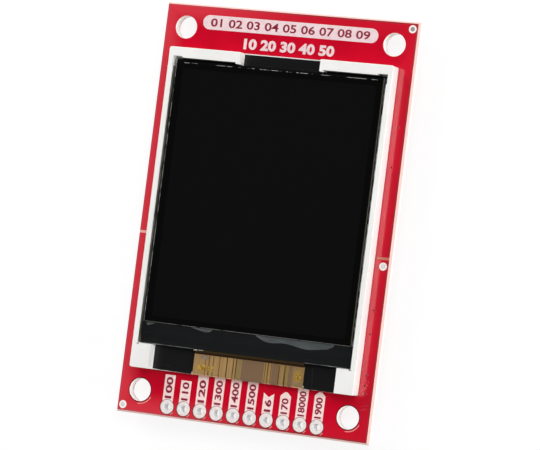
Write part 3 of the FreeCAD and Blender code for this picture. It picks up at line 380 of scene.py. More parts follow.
def cell_glass():
    """Thin float glass scribed and snapped: black where the printed mask backs its face,
    grey-green and frosted along the snapped edges, with painted glints in a broken pale
    line there, and a faint line of adhesive beside the film on the right."""
    finish = Finish("scribed_float_glass", "121314", 0.1, IOR=1.52)
    chips_and_glints = finish.cloud(0.45, 0.4, 0.62, 3, (1, 2.5, 0.4))
    half = (glass_high.x - glass_low.x) / 2
    scribe = finish.spread(finish.off("X"), half - 0.10 * MM, half - 0.07 * MM)
    edge = finish.math("MAXIMUM", finish.upright(), scribe)
    beside = finish.math("SUBTRACT", finish.axis("X"), screen_high.x)
    glue = finish.times(finish.spread(beside, 0.01 * MM, 0.04 * MM),
                        finish.spread(beside, 0.17 * MM, 0.14 * MM))
    finish.paint(glue, "101112", "6f6c60")
    # Partly painted highlight: the edges are a frosted grey-green, and the pale flecks on
    # them are painted glints.
    finish.over(edge, finish.blend(chips_and_glints, "3a3d3a", "b2b6b1"))
    return finish.relief(finish.times(edge, chips_and_glints), 0.02).material


def wrinkled(finish):
    """The long shallow wrinkles of a tape that was rubbed down, and its fine grain."""
    return finish.grain(2.6, 0.012, 2, (2.5, 1, 1)).grain(0.12, 0.002).material


def black_tape():
    """Matt black polyester tape: very dark. Along its cut lower edge beside the flexible
    circuit a thin uneven grey line is painted as a highlight."""
    finish = Finish("matt_polyester_tape_painted_edge_glint", "171819", 0.34, IOR=1.45)
    finish.gloss(finish.noise(1.5), 0.28, 0.42)
    lip = finish.ramp("Y", tape_low.y + 0.09 * MM, tape_low.y + 0.05 * MM)
    half = (flex_high.x - flex_low.x) / 2
    beside = finish.spread(finish.off("X", (flex_low.x + flex_high.x) / 2), half,
                           half + 0.3 * MM)
    # Painted highlight: a broken grey glint along the tape's cut lower edge, left off over
    # the flex.
    painted_edge_glint = finish.cloud(1.6, 0.3, 0.7, 3, (1.5, 1, 1))
    return wrinkled(finish.over(finish.times(painted_edge_glint, finish.times(lip, beside)), "8f938f"))


def turned_tape():
    """The same tape where it lines the frame: black where it lies flat, and painted a
    mottled grey where its edges are turned up against the walls round the glass, as
    painted light on those walls."""
    finish = Finish("matt_polyester_tape_turned_up", "161617", 0.36, IOR=1.4)
    turned = finish.ramp("Z", apron_z + 0.20 * MM, apron_z + 0.45 * MM)
    # Painted light: the turned-up edges are painted grey in a mottle for the light that
    # reaches the walls.
    wall_light_mottle = finish.cloud(0.7, 0.3, 0.7, 3, (1, 3, 1))
    return wrinkled(finish.over(turned, finish.blend(wall_light_mottle, "2d2e2a", "706e65")))


def blister_reflection():
    """The same tape where it stands off the step below it: painted a paler grey-blue, as
    the reflection that its bent face shows, and its face is smoother."""
    finish = Finish("tape_blister_painted_reflection", "4c5357", 0.3, IOR=1.45)
    # Painted reflection: grey-blue clouds, toned down towards the right, stand for what
    # the bent tape reflects.
    finish.paint(finish.cloud(1.3, 0.3, 0.75, 2, (2, 1, 1)), "474b4d", "5f6466")
    return finish.over(finish.ramp("X", 4 * MM, 13 * MM), "484d4e").material


def amber_polyimide():
    """Polyimide cover film over copper, its face dulled by handling: a honey tan with
    straight darker lines of copper along it. On the step under the tape it is painted
    nearly black brown as shade where it bends away from the light, with an olive lit band
    painted above, and a paler tan is painted along its folded edge as a highlight."""
    finish = Finish("polyimide_cover_film", "a5824f", 0.35, IOR=1.5,
                    Specular_IOR_Level=0.3)
    line_mm, endless = 0.22, 2000
    lines = finish.cloud(line_mm, 0.3, 0.7, 1, (1, endless, endless))
    right = finish.ramp("X", 0.0, flex_high.x)
    # Painted shade and light: the first ramp marks the shaded bend, the second its lit
    # olive band, and the third a painted highlight on the folded edge.
    dark = finish.ramp("Y", TAN_TOP, TAN_TOP + 0.05 * MM)
    step = finish.ramp("Y", TAN_TOP + 0.30 * MM, TAN_TOP + 0.40 * MM)
    fold = finish.ramp("Y", flex_low.y + 0.22 * MM, flex_low.y + 0.08 * MM)
    finish.paint(lines, "97774a", "ad8c5c")
    finish.over(finish.times(finish.cloud(3.0, detail=1), 0.5), "8f7858")
    finish.over(finish.times(right, 0.45), "77603e").over(dark, "2a1504")
    finish.over(step, "3a2b10").over(fold, "cfa878").gloss(dark, 0.35, 0.9)
    return finish.relief(lines, 0.002).material


def copper_under_film():
    """Gaps between copper tracks seen through the cover film: a deep brown."""
    finish = Finish("track_gap_under_film", "61441c", 0.35, IOR=1.5)
    cloud = finish.cloud(2.0, detail=1, stretch=(1, 3, 3))
    return finish.paint(cloud, "553a17", "745529").material


def clear_polyimide():
    """Film with no copper under it, where the light passes twice: a yellower amber."""
    finish = Finish("clear_polyimide_window", "93824c", 0.33, IOR=1.5)
    return finish.paint(finish.ramp("X", 6.8 * MM, 7.6 * MM), "89754a", "9d7c41").material


def glue_crumb_glint():
    """A crumb of clear adhesive at the tape's edge, painted pale as a glint: shiny and
    lumpy.
    """
    finish = Finish("clear_adhesive_painted_glint", "a9a795", 0.25, IOR=1.48)
    finish.paint(finish.cloud(0.25, 0.35, 0.65), "5f5a45", "dadacd")
    return finish.grain(0.15, 0.03).material


def hatched_copper():
    """A hatched copper plane under the film: grey-brown, flat and dull."""
    finish = Finish("hatched_copper_plane", "7b6450", 0.42, IOR=1.5)
    stripes = finish.spread(finish.wave("X", 0.12), -1.0, 1.0)
    return finish.paint(stripes, "735a43", "80664d").material


def adhesive_patch():
    """Adhesive that crept under the film and turns it grey, more so in the middle."""
    finish = Finish("adhesive_under_film", "83746a", 0.45, IOR=1.5)
    return finish.paint(finish.cloud(0.5), "7c6d62", "8e8075").material


def gold_plate():
    """Gold flashed over nickel: yellow, soft and slightly grainy, brighter where it has
    been touched."""
    finish = Finish("immersion_gold", "c3963c", 0.4, Metallic=0.3)
    finish.paint(finish.cloud(0.32, 0.4, 0.62), "98742f", "d2aa50")
    return finish.grain(0.08, 0.003).material


def reflowed_solder():
    """Tin and silver solder after reflow: bright, with a satin, crystalline skin."""
    finish = Finish("reflowed_solder", "d3d5d6", 0.34, Metallic=0.95)
    return finish.gloss(finish.noise(0.15, 3), 0.25, 0.5).grain(0.2, 0.01, 3).material


def stamped_stainless():
    """Stainless strip, rolled then stamped: grey with fine straight rolling lines and a
    satin shine."""
    finish = Finish("rolled_stainless_strip", "c6c8ca", 0.3, Metallic=1.0)
    lines = finish.noise(0.05, 3, (1, 120, 1))
    return finish.gloss(lines, 0.24, 0.4).relief(lines, 0.002).material


def glass_filled_nylon():
    """Black nylon filled with short glass fibres: dark, dull and faintly flecked."""
    finish = Finish("glass_filled_nylon", "171717", 0.55, IOR=1.53)
    flecks = finish.cloud(0.08, 0.6, 0.75, 2, (1, 3, 1))
    return finish.paint(flecks, "151515", "2c2c2c").relief(flecks, 0.003).material


def moulded_epoxy():
    """Black epoxy moulding compound: charcoal with a fine sparkly grain."""
    finish = Finish("epoxy_moulding_compound", "202021", 0.6, IOR=1.55)
    grain = finish.noise(0.05)
    finish.paint(finish.spread(grain, 0.3, 0.75), "1a1a1b", "2d2d2e")
    return finish.relief(grain, 0.008).material


def polished_silicon():
    """A bare silicon die: dark grey and mirror smooth."""
    return Finish("polished_silicon", "2a2b2e", 0.12, Metallic=0.4).material


def resistor_glaze():
    """A chip resistor: black glaze over its printed film on top, white alumina at the
    sides."""
    finish = Finish("glazed_alumina_chip", "1a1a1c", 0.3, IOR=1.6)
    top = finish.spread(finish.facing("Z"), -0.4, -0.7)
    return finish.paint(top, "e7e4dd", "19191b").material


def sintered_ceramic():
    """Fired barium titanate: a matt pinkish tan, evenly speckled."""
    finish = Finish("fired_ceramic_dielectric", "a5845e", 0.55, IOR=1.6)
    grain = finish.noise(0.06)
    return finish.paint(grain, "977650", "b08f69").relief(grain, 0.003).material


def tantalum_case():
    """Ochre epoxy moulded round a tantalum anode, with a fired brown bar that marks the
    positive end."""
    finish = Finish("moulded_tantalum_case", "d49c3c", 0.45, IOR=1.55)
    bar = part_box("left_bulk_capacitor_body")[1].y - 0.75 * MM
    finish.paint(finish.ramp("Y", bar, bar + 0.03 * MM), "d29a3b", "6b3a16")
    return finish.grain(0.06, 0.005).material


def lamp_resin():
    """A white lamp's housing: bright white resin."""
    return Finish("white_lamp_housing", "f2f0e2", 0.4, IOR=1.54).material


def clear_acrylic():
    """Moulded acrylic light guide: clear, with etched dots that scatter the light."""
    return Finish("etched_clear_acrylic", "f2f5f4", 0.15, IOR=1.49,
                  Transmission_Weight=0.6).grain(0.25, 0.004, 1).material


def optical_film():
    """Frosted polyester film: milky and even."""
    return Finish("frosted_polyester_film", "e6eaec", 0.5,
                  IOR=1.57).grain(0.05, 0.002, 1).material


def foam_tape():
    """Closed cell foam tape: off-white, dull and slightly pitted."""
    return Finish("double_sided_foam_tape", "e4e0d4", 0.85,
                  IOR=1.5).grain(0.15, 0.02).material


# Surfaces: points worked out with whole arrays

RIDGE_COLUMNS, DISH_COLUMNS, BLOT_COLUMNS, PATCH_ROWS = 5, 20, 28, 7
EDGE_SHARE = 0.15  # how much of its size a ridge keeps at an end, and a patch at its edge


def grid_faces(rows, columns, wrap_rows=False, wrap_columns=False):
    """Quads that join a rows by columns sheet of points, closed round either way if
    asked."""
    rows_end = rows if wrap_rows else rows - 1
    columns_end = columns if wrap_columns else columns - 1
    row, column = np.meshgrid(np.arange(rows_end), np.arange(columns_end), indexing="ij")
    next_row = (row + 1) % rows
    next_column = (column + 1) % columns
    return np.stack([row * columns + column, next_row * columns + column,
                     next_row * columns + next_column, row * columns + next_column],
                    axis=-1).reshape(-1, 4)


def caps(rows, columns):
    """The two faces that close a tube's first and last row of points."""
    last = (rows - 1) * columns
    return [list(range(columns)), list(range(last + columns - 1, last - 1, -1))]


def circle(count):
    """Points round a circle of radius 1."""
    angles = np.linspace(0, 2 * math.pi, count, endpoint=False)
    return np.stack([np.cos(angles), np.sin(angles)], axis=1)


def left_of(path, closed=False):
    """The direction to the left of a flat path, at each of its points."""
    if closed:
        along = np.roll(path, -1, axis=0) - np.roll(path, 1, axis=0)
    else:
        along = np.gradient(path, axis=0)
    along /= np.linalg.norm(along, axis=1)[:, None]
    return np.stack([-along[:, 1], along[:, 0]], axis=1)


def place_piece(name, mesh, material):
    """One object from a mesh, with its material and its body."""
    mesh.materials.clear()
    mesh.materials.append(material)
    piece = bpy.data.objects.new(name, mesh)
    bpy.context.scene.collection.objects.link(piece)
    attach(piece, "root")


def make_piece(name, parts, material, smooth=True):
    """One piece from a list of points and the faces that join them."""
    points, faces, offset = [], [], 0
    for part_points, part_faces in parts:
        part_points = np.asarray(part_points, float).reshape(-1, 3)
        points.append(part_points)
        faces.extend((np.asarray(face) + offset).tolist() for face in part_faces)
        offset += len(part_points)
    mesh = bpy.data.meshes.new(name)
    mesh.from_pydata(np.concatenate(points), [], faces)
    mesh.validate()
    mesh.update()
    mesh.polygons.foreach_set("use_smooth", np.full(len(mesh.polygons), smooth))
    place_piece(name, mesh, material)


def ridge(path, width, height, base_z, closed=False):
    """A low rounded ridge on a flat face. Its section is half a sine wave, set square to
    the path at each of its points; an open one's ends shrink to a small share."""
    share = np.linspace(0, 1, RIDGE_COLUMNS)
    size = np.ones(len(path))
    if not closed:
        size[[0, -1]] = EDGE_SHARE
    reach = (share - 0.5)[None, :, None] * width * size[:, None, None]
    flat = path[:, None, :] + left_of(path, closed)[:, None, :] * reach
    lift = base_z + np.sin(share * math.pi)[None, :] * height * size[:, None]
    points = np.concatenate([flat, lift[:, :, None]], axis=2)
    faces = grid_faces(len(path), RIDGE_COLUMNS, closed, True)[:, ::-1].tolist()
    return points, faces if closed else faces + caps(len(path), RIDGE_COLUMNS)


def turned_dish(centre, radii, heights, base_z):
    """A surface of revolution about an upright line: each radius meets its height, and
    flat ends close the first and the last ring."""
    flat = centre + radii[:, None, None] * circle(DISH_COLUMNS)
    lift = np.broadcast_to(base_z + heights[:, None, None], (len(radii), DISH_COLUMNS, 1))
    points = np.concatenate([flat, lift], axis=2)
    faces = grid_faces(len(radii), DISH_COLUMNS, False, True)[:, ::-1].tolist()
    return points, faces + [cap[::-1] for cap in caps(len(radii), DISH_COLUMNS)]


def thin_patch(x, y_low, y_high, z_of, lift, dome):
    """A thin lens on a bent surface. It spans y_low(x) to y_high(x), and its upper skin
    stands off the surface z_of(y) by a dome: a half sine across it times the square root
    of a half sine along it."""
    share = np.linspace(0, 1, PATCH_ROWS)[:, None]
    along = np.linspace(0, 1, len(x))[None, :]
    y = y_low[None, :] + (y_high - y_low)[None, :] * share
    under = z_of(y) + lift
    bulge = np.sin(math.pi * share) * np.sin(math.pi * along) ** 0.5
    over = under + dome * (EDGE_SHARE + bulge)
    grid_x = np.broadcast_to(x[None, :], y.shape)
    top = np.stack([grid_x, y, over], axis=2).reshape(-1, 3)
    bottom = np.stack([grid_x, y, under], axis=2).reshape(-1, 3)
    faces = grid_faces(PATCH_ROWS, len(x))[:, ::-1]
    count = PATCH_ROWS * len(x)
    rim = np.concatenate([np.arange(len(x)), np.arange(2, PATCH_ROWS + 1) * len(x) - 1,
                          np.arange(count - 2, count - len(x) - 1, -1),
                          np.arange(PATCH_ROWS - 2, 0, -1) * len(x)])
    after = np.roll(rim, -1)
    wall = np.stack([rim, rim + count, after + count, after], axis=1)
    return np.concatenate([top, bottom]), [*faces, *(faces[:, ::-1] + count), *wall]


def blot(centre_mm, size_mm, base_z, thickness):
    """A thin flat patch whose outline is a superellipse of the third degree."""
    outline = circle(BLOT_COLUMNS)
    outline = np.sign(outline) * np.abs(outline) ** (2 / 3) * np.array(size_mm) / 2
    outline = (outline + centre_mm) * MM
    points = np.concatenate([np.column_stack([outline, np.full(BLOT_COLUMNS, z)])
                             for z in (base_z, base_z + thickness)])
    faces = grid_faces(2, BLOT_COLUMNS, wrap_columns=True)[:, ::-1].tolist()
    return points, faces + [cap[::-1] for cap in caps(2, BLOT_COLUMNS)]


def film_strip(x_low, x_high, path, thickness):
    """A thin strip laid along a path in the YZ plane, from x_low to x_high. Its section
    is a rectangle that stands on the path's left side."""
    raised = path + left_of(path) * thickness
    low = np.full((len(path), 1), x_low)
    high = np.full((len(path), 1), x_high)
    points = np.stack([np.hstack([low, path]), np.hstack([low, raised]),
                       np.hstack([high, raised]), np.hstack([high, path])], axis=1)
    faces = grid_faces(len(path), 4, wrap_columns=True).tolist()
    return points, faces + [cap[::-1] for cap in caps(len(path), 4)]


def numerals(name, text, size, centre, turn, base_z, thickness, bold, material):
    """Plain digits as thin solids: the text's outline is made a mesh, scaled to a width
    and a height, turned about its middle and laid on a face."""
    curve = bpy.data.curves.new(name, "FONT")
    curve.body = text
    curve.size = 1.0
    curve.extrude = 0.5
    curve.offset = bold
    curve.resolution_u = 3
    maker = bpy.data.objects.new(name + "_outline", curve)
    bpy.context.scene.collection.objects.link(maker)
    bpy.context.view_layer.update()
    mesh = bpy.data.meshes.new_from_object(maker.evaluated_get(
        bpy.context.evaluated_depsgraph_get()))
    bpy.data.objects.remove(maker)
    points = np.zeros(len(mesh.vertices) * 3)
    mesh.vertices.foreach_get("co", points)
    points = points.reshape(-1, 3)
    low, high = points.min(0), points.max(0)
    shares = (points - (low + high) / 2) / (high - low)
    x, y = shares[:, 0] * size[0], shares[:, 1] * size[1]
    angle = math.radians(turn)
    placed = np.stack([centre[0] + x * math.cos(angle) - y * math.sin(angle),
                       centre[1] + x * math.sin(angle) + y * math.cos(angle),
                       base_z + (shares[:, 2] + 0.5) * thickness], axis=1)
    mesh.vertices.foreach_set("co", placed.ravel())
    mesh.name = name
    mesh.update()
    place_piece(name, mesh, material)


# What a user may change

def length(name, description, mm):
    """A length that a user may change."""
    return bpy.props.FloatProperty(name=name, description=description, default=mm * MM,
                                   unit="LENGTH", precision=6)


class ReliefSettings(bpy.types.PropertyGroup):
    """Sizes of the raised lines that the copper leaves in the solder mask."""

    ridge_height: length("Ridge height", "How far a copper edge lifts the mask", 0.03)
    clearance_radius: length("Clearance radius",
                             "From a header pad to the step at its corner", 1.21)
    clearance_width: length("Clearance step", "Width of that step", 0.15)
    via_radius: length("Via radius", "Radius of a via's dimple under the mask", 0.24)


class PrintSettings(bpy.types.PropertyGroup):
    """Sizes of the plain numbers on the print."""

    flag_height: length("Flag digits", "Height of the digits on the flags", 1.02)
    pill_height: length("Pill digits", "Height of the digits on the pill", 1.22)
    title_height: length("Line digits", "Height of the white digits under the pill", 1.55)
    ink_thickness: length("Ink thickness", "How thick the digits are", 0.006)


class StudioSettings(bpy.types.PropertyGroup):
    """The pale floor, its light and the camera."""

    floor_colour: bpy.props.FloatVectorProperty(
        name="Floor colour", description="Colour of the floor as the camera sees it",
        subtype="COLOR", size=3, default=(1.0, 1.0, 1.0), min=0.0, max=1.0)
    floor_glow: bpy.props.FloatProperty(
        name="Floor glow", description="Share of the floor that no shadow darkens",
        subtype="FACTOR", default=0.8, min=0.0, max=1.0)
    light_level: bpy.props.FloatProperty(
        name="Light level", description="1 renders a colour about as it is written",
        default=1.04, min=0.0, soft_max=2.0)


SETTINGS = {"display_relief": ReliefSettings, "display_print": PrintSettings,
            "display_studio": StudioSettings}


# One operator for each piece or group of like pieces

def give(material, *names):
    """Puts a material on CAD nodes."""
    for name in names:
        for place in nodes[name].material_slots:
            place.material = material


def named(*endings):
    """Every CAD node whose name ends in one of the words."""
    return [name for name in sorted(nodes) if name.endswith(endings)]


def finish_of(name):
    """The material that a CAD node has been given."""
    return nodes[name].material_slots[0].material


class FinishBoard(bpy.types.Operator):
    """Finishes the board, its mask, print and pads"""

    bl_idname = "display_module.finish_board"
    bl_label = "Finish the board"

    def execute(self, context):
        give(glass_epoxy_laminate(), "circuit_board")
        give(solder_mask(), "solder_mask_front", "solder_mask_back")
        give(screen_ink(), "front_print")
        give(bright_tin(), *PAD_NAMES)
        give(dull_tin(), "alignment_dots")
        give(leaded_tin(), *named("_leads", "_end_caps", "_straps"))
        give(reflowed_solder(), "solder_lands", "flex_solder_joints")
        return {"FINISHED"}


class FinishDisplay(bpy.types.Operator):
    """Finishes the display's frame, glass, films, tapes and flexible circuit"""

    bl_idname = "display_module.finish_display"
    bl_label = "Finish the display"

    def execute(self, context):
        give(white_polycarbonate(), "display_frame")
        give(polariser_film(), "front_polariser", "rear_polariser")
        give(cell_glass(), "front_glass", "rear_glass")
        give(turned_tape(), "rim_tape")
        give(black_tape(), "ledge_tape")
        give(amber_polyimide(), "display_flex", "lamp_strip")
        give(gold_plate(), "flex_gold_pads", "card_socket_contacts")
        give(polished_silicon(), "driver_chip")
        give(lamp_resin(), *[name for name in sorted(nodes)
                             if name.startswith("lamp_") and name != "lamp_strip"])
        give(clear_acrylic(), "light_guide")
        give(optical_film(), "reflector_film", "diffuser_film", "lower_prism_film",
             "upper_prism_film")
        give(foam_tape(), "left_mounting_tape", "right_mounting_tape")
        return {"FINISHED"}


class FinishBack(bpy.types.Operator):
    """Finishes the parts on the back of the board"""

    bl_idname = "display_module.finish_back"
    bl_label = "Finish the back"

    def execute(self, context):
        give(stamped_stainless(), "card_socket_shell")
        give(glass_filled_nylon(), "card_socket_base")
        give(moulded_epoxy(), "regulator_body", "backlight_switch_body",
             *named("_level_shifter_body"))
        give(tantalum_case(), *named("_bulk_capacitor_body"))
        give(resistor_glaze(), "resistor_bodies")
        give(sintered_ceramic(), "ceramic_capacitor_bodies")
        return {"FINISHED"}


class AddMaskRelief(bpy.types.Operator):
    """Adds the raised copper edges with painted highlights, hole rims in painted shade,
    short tracks and vias under the mask
    """

    bl_idname = "display_module.add_mask_relief"
    bl_label = "Add the mask's relief"

    def execute(self, context):
        settings = context.scene.display_relief
        height, width = settings.ridge_height, settings.clearance_width
        half_step, hole_gap = 0.21 * MM, 0.31 * MM
        rim_gap, rim_width, track_width = 0.07 * MM, 0.12 * MM, 0.16 * MM
        # Beside each header pad a short straight step at 45 degrees and beside each lower
        # hole an arc of 75 degrees, both painted pale as highlights, and round that hole a
        # whole ring, painted near black as shade
        round_hole = circle(48)
        lower_right = round_hole[35:46]
        corner = math.sqrt(0.5) * np.array([[1, -1]]) * settings.clearance_radius
        corner = corner + np.linspace(-half_step, half_step, 5)[:, None]
        holes = [HOLE_PLACE * (side, -1) for side in (-1, 1)]
        steps = [centre + corner for centre in PAD_CENTRES]
        steps += [hole + lower_right * (HOLE_RADIUS + hole_gap) for hole in holes]
        rims = [hole + round_hole * (HOLE_RADIUS + rim_gap) for hole in holes]
        mask, thick = finish_of("solder_mask_front"), pooled_and_shade_mask()
        make_piece("mask_copper_edge_highlights",
                   [ridge(step, width, 0.5 * height, mask_z) for step in steps],
                   painted_highlight_mask())
        # Painted shade: each lower hole's rim ring is coloured near black red for the
        # shade along the mask's step there.
        make_piece("mask_hole_rims_painted_shade",
                   [ridge(rim, rim_width, 0.2 * height, mask_z, closed=True)
                    for rim in rims], thick)
        right = np.array([board_high.x, 0.0])
        track_ends = (((-1.55, -20.9), (-0.75, -21.5)), ((-1.35, -21.5), (-0.95, -21.9)),
                      ((-1.15, -20.6), (-0.70, -20.95)), ((-1.40, -24.3), (-0.60, -24.0)),
                      ((-1.45, -24.8), (-0.55, -24.5)))
        tracks = [ridge(np.linspace(start, end, 5) * MM + right, track_width, height,
                        mask_z) for start, end in track_ends]
        make_piece("mask_track_ends", tracks, mask)
        via_places = np.array(((-1.30, -10.91), (-1.45, -14.24), (-1.21, -19.95),
                               (-1.24, -21.40), (-1.00, -22.45), (-1.35, 9.0),
                               (-1.10, 14.6))) * MM + right
        for name, radii, heights, material in (
                ("mask_vias", (1.0, 0.9, 0.72, 0.5, 0.3, 0.1),
                 (0.0, 0.8, 1.0, 0.55, 0.2, 0.15), mask),
                ("mask_via_centres", (0.42, 0.36, 0.2), (0.7, 1.05, 1.1), thick)):
            dishes = [turned_dish(place, np.array(radii) * settings.via_radius,
                                  np.array(heights) * height, mask_z)
                      for place in via_places]
            make_piece(name, dishes, material)
        return {"FINISHED"}


class AddNumerals(bpy.types.Operator):
    """Adds plain numbers to the flags, the pill and the line under it"""

    bl_idname = "display_module.add_numerals"
    bl_label = "Add the numbers"

    def execute(self, context):
        settings = context.scene.display_print
        red = red_numeral_ink()
        thickness = settings.ink_thickness
        pad_gap = PAD_RADIUS + 0.26 * MM
        pill_y, line_y = board_high.y - 2.20 * MM, board_high.y - 4.86 * MM
        flags = (("100", 3.05), ("110", 2.60), ("120", 3.20), ("1300", 3.45),
                 ("1400", 3.50), ("1500", 3.55), ("16", 1.70), ("170", 2.20),
                 ("18000", 3.50), ("1900", 2.95))
        for index, ((text, length_mm), (x, y)) in enumerate(zip(flags, PAD_CENTRES)):
            middle = (x, y + pad_gap + length_mm * MM / 2)
            numerals("flag_number_%02d" % (index + 1), text,
                     (length_mm * MM, settings.flag_height), middle, 90, print_z,
                     thickness, 0.03, red)
        numerals("pill_numbers", "01 02 03 04 05 06 07 08 09",
                 (24.3 * MM, settings.pill_height), (0.0, pill_y), 0, print_z, thickness,
                 0.02, red)
        numerals("line_numbers", "10 20 30 40 50", (13.8 * MM, settings.title_height),
                 (0.2 * MM, line_y), 0, mask_z, thickness * 2, 0.045,
                 finish_of("front_print"))
        return {"FINISHED"}


class AddFlexDetail(bpy.types.Operator):
    """Adds the tracks, copper plane and patches that show in the flexible circuit"""

    bl_idname = "display_module.add_flex_detail"
    bl_label = "Add the flex's detail"

    def execute(self, context):
        film, lift, overlap, glint_lift = (mm * MM for mm in (0.004, 0.006, 0.02, 0.10))
        lap = gold_z + lift
        fold_r = (lap - flex_low.z) / 2
        # The path runs level down the film, then 80 degrees round its fold
        angles = np.linspace(0, math.radians(80), 9)
        fold = np.stack([flex_low.y + fold_r - fold_r * np.sin(angles) - lift,
                         lap - fold_r + fold_r * np.cos(angles)], axis=1)
        path = np.concatenate([[[TAN_TOP - overlap, lap]], fold])

        def strips(*places):
            """Strips along the flex from their middles and widths in mm."""
            return [film_strip((x - w / 2) * MM, (x + w / 2) * MM, path, film)
                    for x, w in places]

        make_piece("flex_tracks", strips(
            (-5.99, 0.11), (-5.46, 0.13), (-4.84, 0.11), (-3.85, 0.13), (-2.73, 0.16),
            (-1.76, 0.13), (-1.32, 0.15), (3.10, 0.11), (3.50, 0.13), (4.00, 0.09),
            (5.20, 0.15), (6.07, 0.22)), copper_under_film(), False)
        make_piece("flex_copper_planes", strips((1.22, 3.42), (4.60, 0.96), (6.93, 0.56)),
                   hatched_copper(), False)
        window = blot((8.05, -21.35), (1.25, 1.75), lap, film)
        make_piece("flex_clear_windows", [*strips((-0.84, 0.58), (6.41, 0.36)), window],
                   clear_polyimide(), False)
        make_piece("flex_adhesive_patches", [
            blot((-6.15, -20.33), (1.25, 0.38), lap, film),
            blot((8.10, -22.32), (0.95, 0.22), lap + film, film)],
                   adhesive_patch(), False)
        # Painted glints: two pale blots by the tape's corner beside the flex.
        corner = np.array([flex_low.x, tape_low.y]) / MM
        glint_z = glass_low.z + glint_lift
        make_piece("tape_edge_glue_glints", [
            blot(corner + (0.20, -0.01), (0.52, 0.36), glint_z, 0.03 * MM),
            blot(corner + (0.95, -0.02), (1.00, 0.16), glint_z, 0.012 * MM)],
                   glue_crumb_glint())
        return {"FINISHED"}


class AddTapeBlisters(bpy.types.Operator):
    """Adds the places where the ledge tape stands off the step under it, pale with a
    painted reflection
    """

    bl_idname = "display_module.add_tape_blisters"
    bl_label = "Add the tape's blisters"

    def execute(self, context):
        def surface(y):
            """The tape's face: level on the glass, then falling to the chip's back."""
            places = screen_low.y + np.array((-1.62, -0.72, -0.46, 0.0)) * MM
            return tape_high.z - np.interp(y, places, (0.06 * MM, 0.06 * MM, 0.0, 0.0))

        def lower_edge(places, lows):
            """A smooth lower outline through a few heights on the board, in mm."""
            x = np.linspace(places[0], places[-1], 48)
            steps = np.pad(np.interp(x, places, lows), 2, mode="edge")
            return x * MM, np.convolve(steps, np.ones(5) / 5, "valid") * MM

        top = screen_low.y - 0.03 * MM
        least, skin, dome = 0.04 * MM, 0.003 * MM, 0.012 * MM
        outlines = (
            (top, (1.38, 2.12, 2.94, 3.99, 5.52, 6.84, 7.90, 9.22, 10.74, 12.76, 13.15),
             (-16.33, -16.82, -17.13, -17.18, -16.95, -17.09, -17.30, -17.48, -17.30,
              -16.97, -16.44)),
            (top, (-8.65, -7.68, -6.31, -5.54, -5.17),
             (-16.33, -16.55, -16.83, -16.69, -16.35)),
            (top - 0.12 * MM, (-15.40, -15.15, -14.85, -14.50, -14.25),
             (-16.60, -16.86, -16.66, -16.60, -16.48)))
        parts = []
        for high, places, lows in outlines:
            x, low = lower_edge(places, lows)
            parts.append(thin_patch(x, np.minimum(low, high - least),
                                    np.full(len(x), high), surface, skin, dome))
        make_piece("tape_blisters", parts, blister_reflection())
        return {"FINISHED"}


class AddApronEdges(bpy.types.Operator):
    """Adds the apron's lower edges, which reach the frame's edge, and its creases"""

    bl_idname = "display_module.add_apron_edges"
    bl_label = "Add the apron's edges"

    def execute(self, context):
        tape = finish_of("rim_tape")
        inset, foot_width = 0.16 * MM, 2.80 * MM
        stand_off, lip, waves = 0.052 * MM, 0.006 * MM, 23.0
        foot = display_high.x - foot_width
        parts = []
        for start, end, low_start, low_end, overlap in (
                (-foot + inset, flex_low.x - inset, 0.13, 0.02, 0.30),
                (flex_high.x + inset, foot - inset, 0.02, 0.02, 0.12)):
            # The lip's edge runs with the root of its share, and ripples less and less
            x = np.linspace(start, end, 40)
            share = (x - start) / (end - start)
            edge = display_low.y + (low_start + (low_end - low_start) * share ** 0.5
                                    + 0.02 * np.sin(share * waves) * (1 - share)) * MM
            high = np.full(len(x), display_low.y + overlap * MM)
            parts.append(thin_patch(x, edge, high, lambda y: np.full(y.shape, apron_z),
                                    stand_off, lip))
        make_piece("apron_edges", parts, tape)
        top = apron_z + 0.05 * MM
        bow = np.linspace(0, 1, 24)
        arc = np.stack([-13.6 + 2.3 * bow,
                        -22.5 + 0.45 * np.sin(bow * math.pi * 0.8)], axis=1)
        fold = np.stack([10.08 + 0.30 * bow, -19.75 - 2.95 * bow], axis=1)
        creases = [ridge(line * MM, width * MM, height * MM, top)
                   for line, width, height in ((arc, 0.26, 0.05), (fold, 0.14, 0.03))]
        make_piece("apron_creases", creases, tape)
        return {"FINISHED"}


class BuildStudio(bpy.types.Operator):
    """Builds the pale floor, the soft lamps and the camera"""

    bl_idname = "display_module.build_studio"
    bl_label = "Build the studio"

    def execute(self, context):
        settings = context.scene.display_studio
        build_floor(settings)
        build_world()
        build_lamps(settings)
        build_camera()
        context.scene.view_settings.view_transform = "Standard"
        return {"FINISHED"}


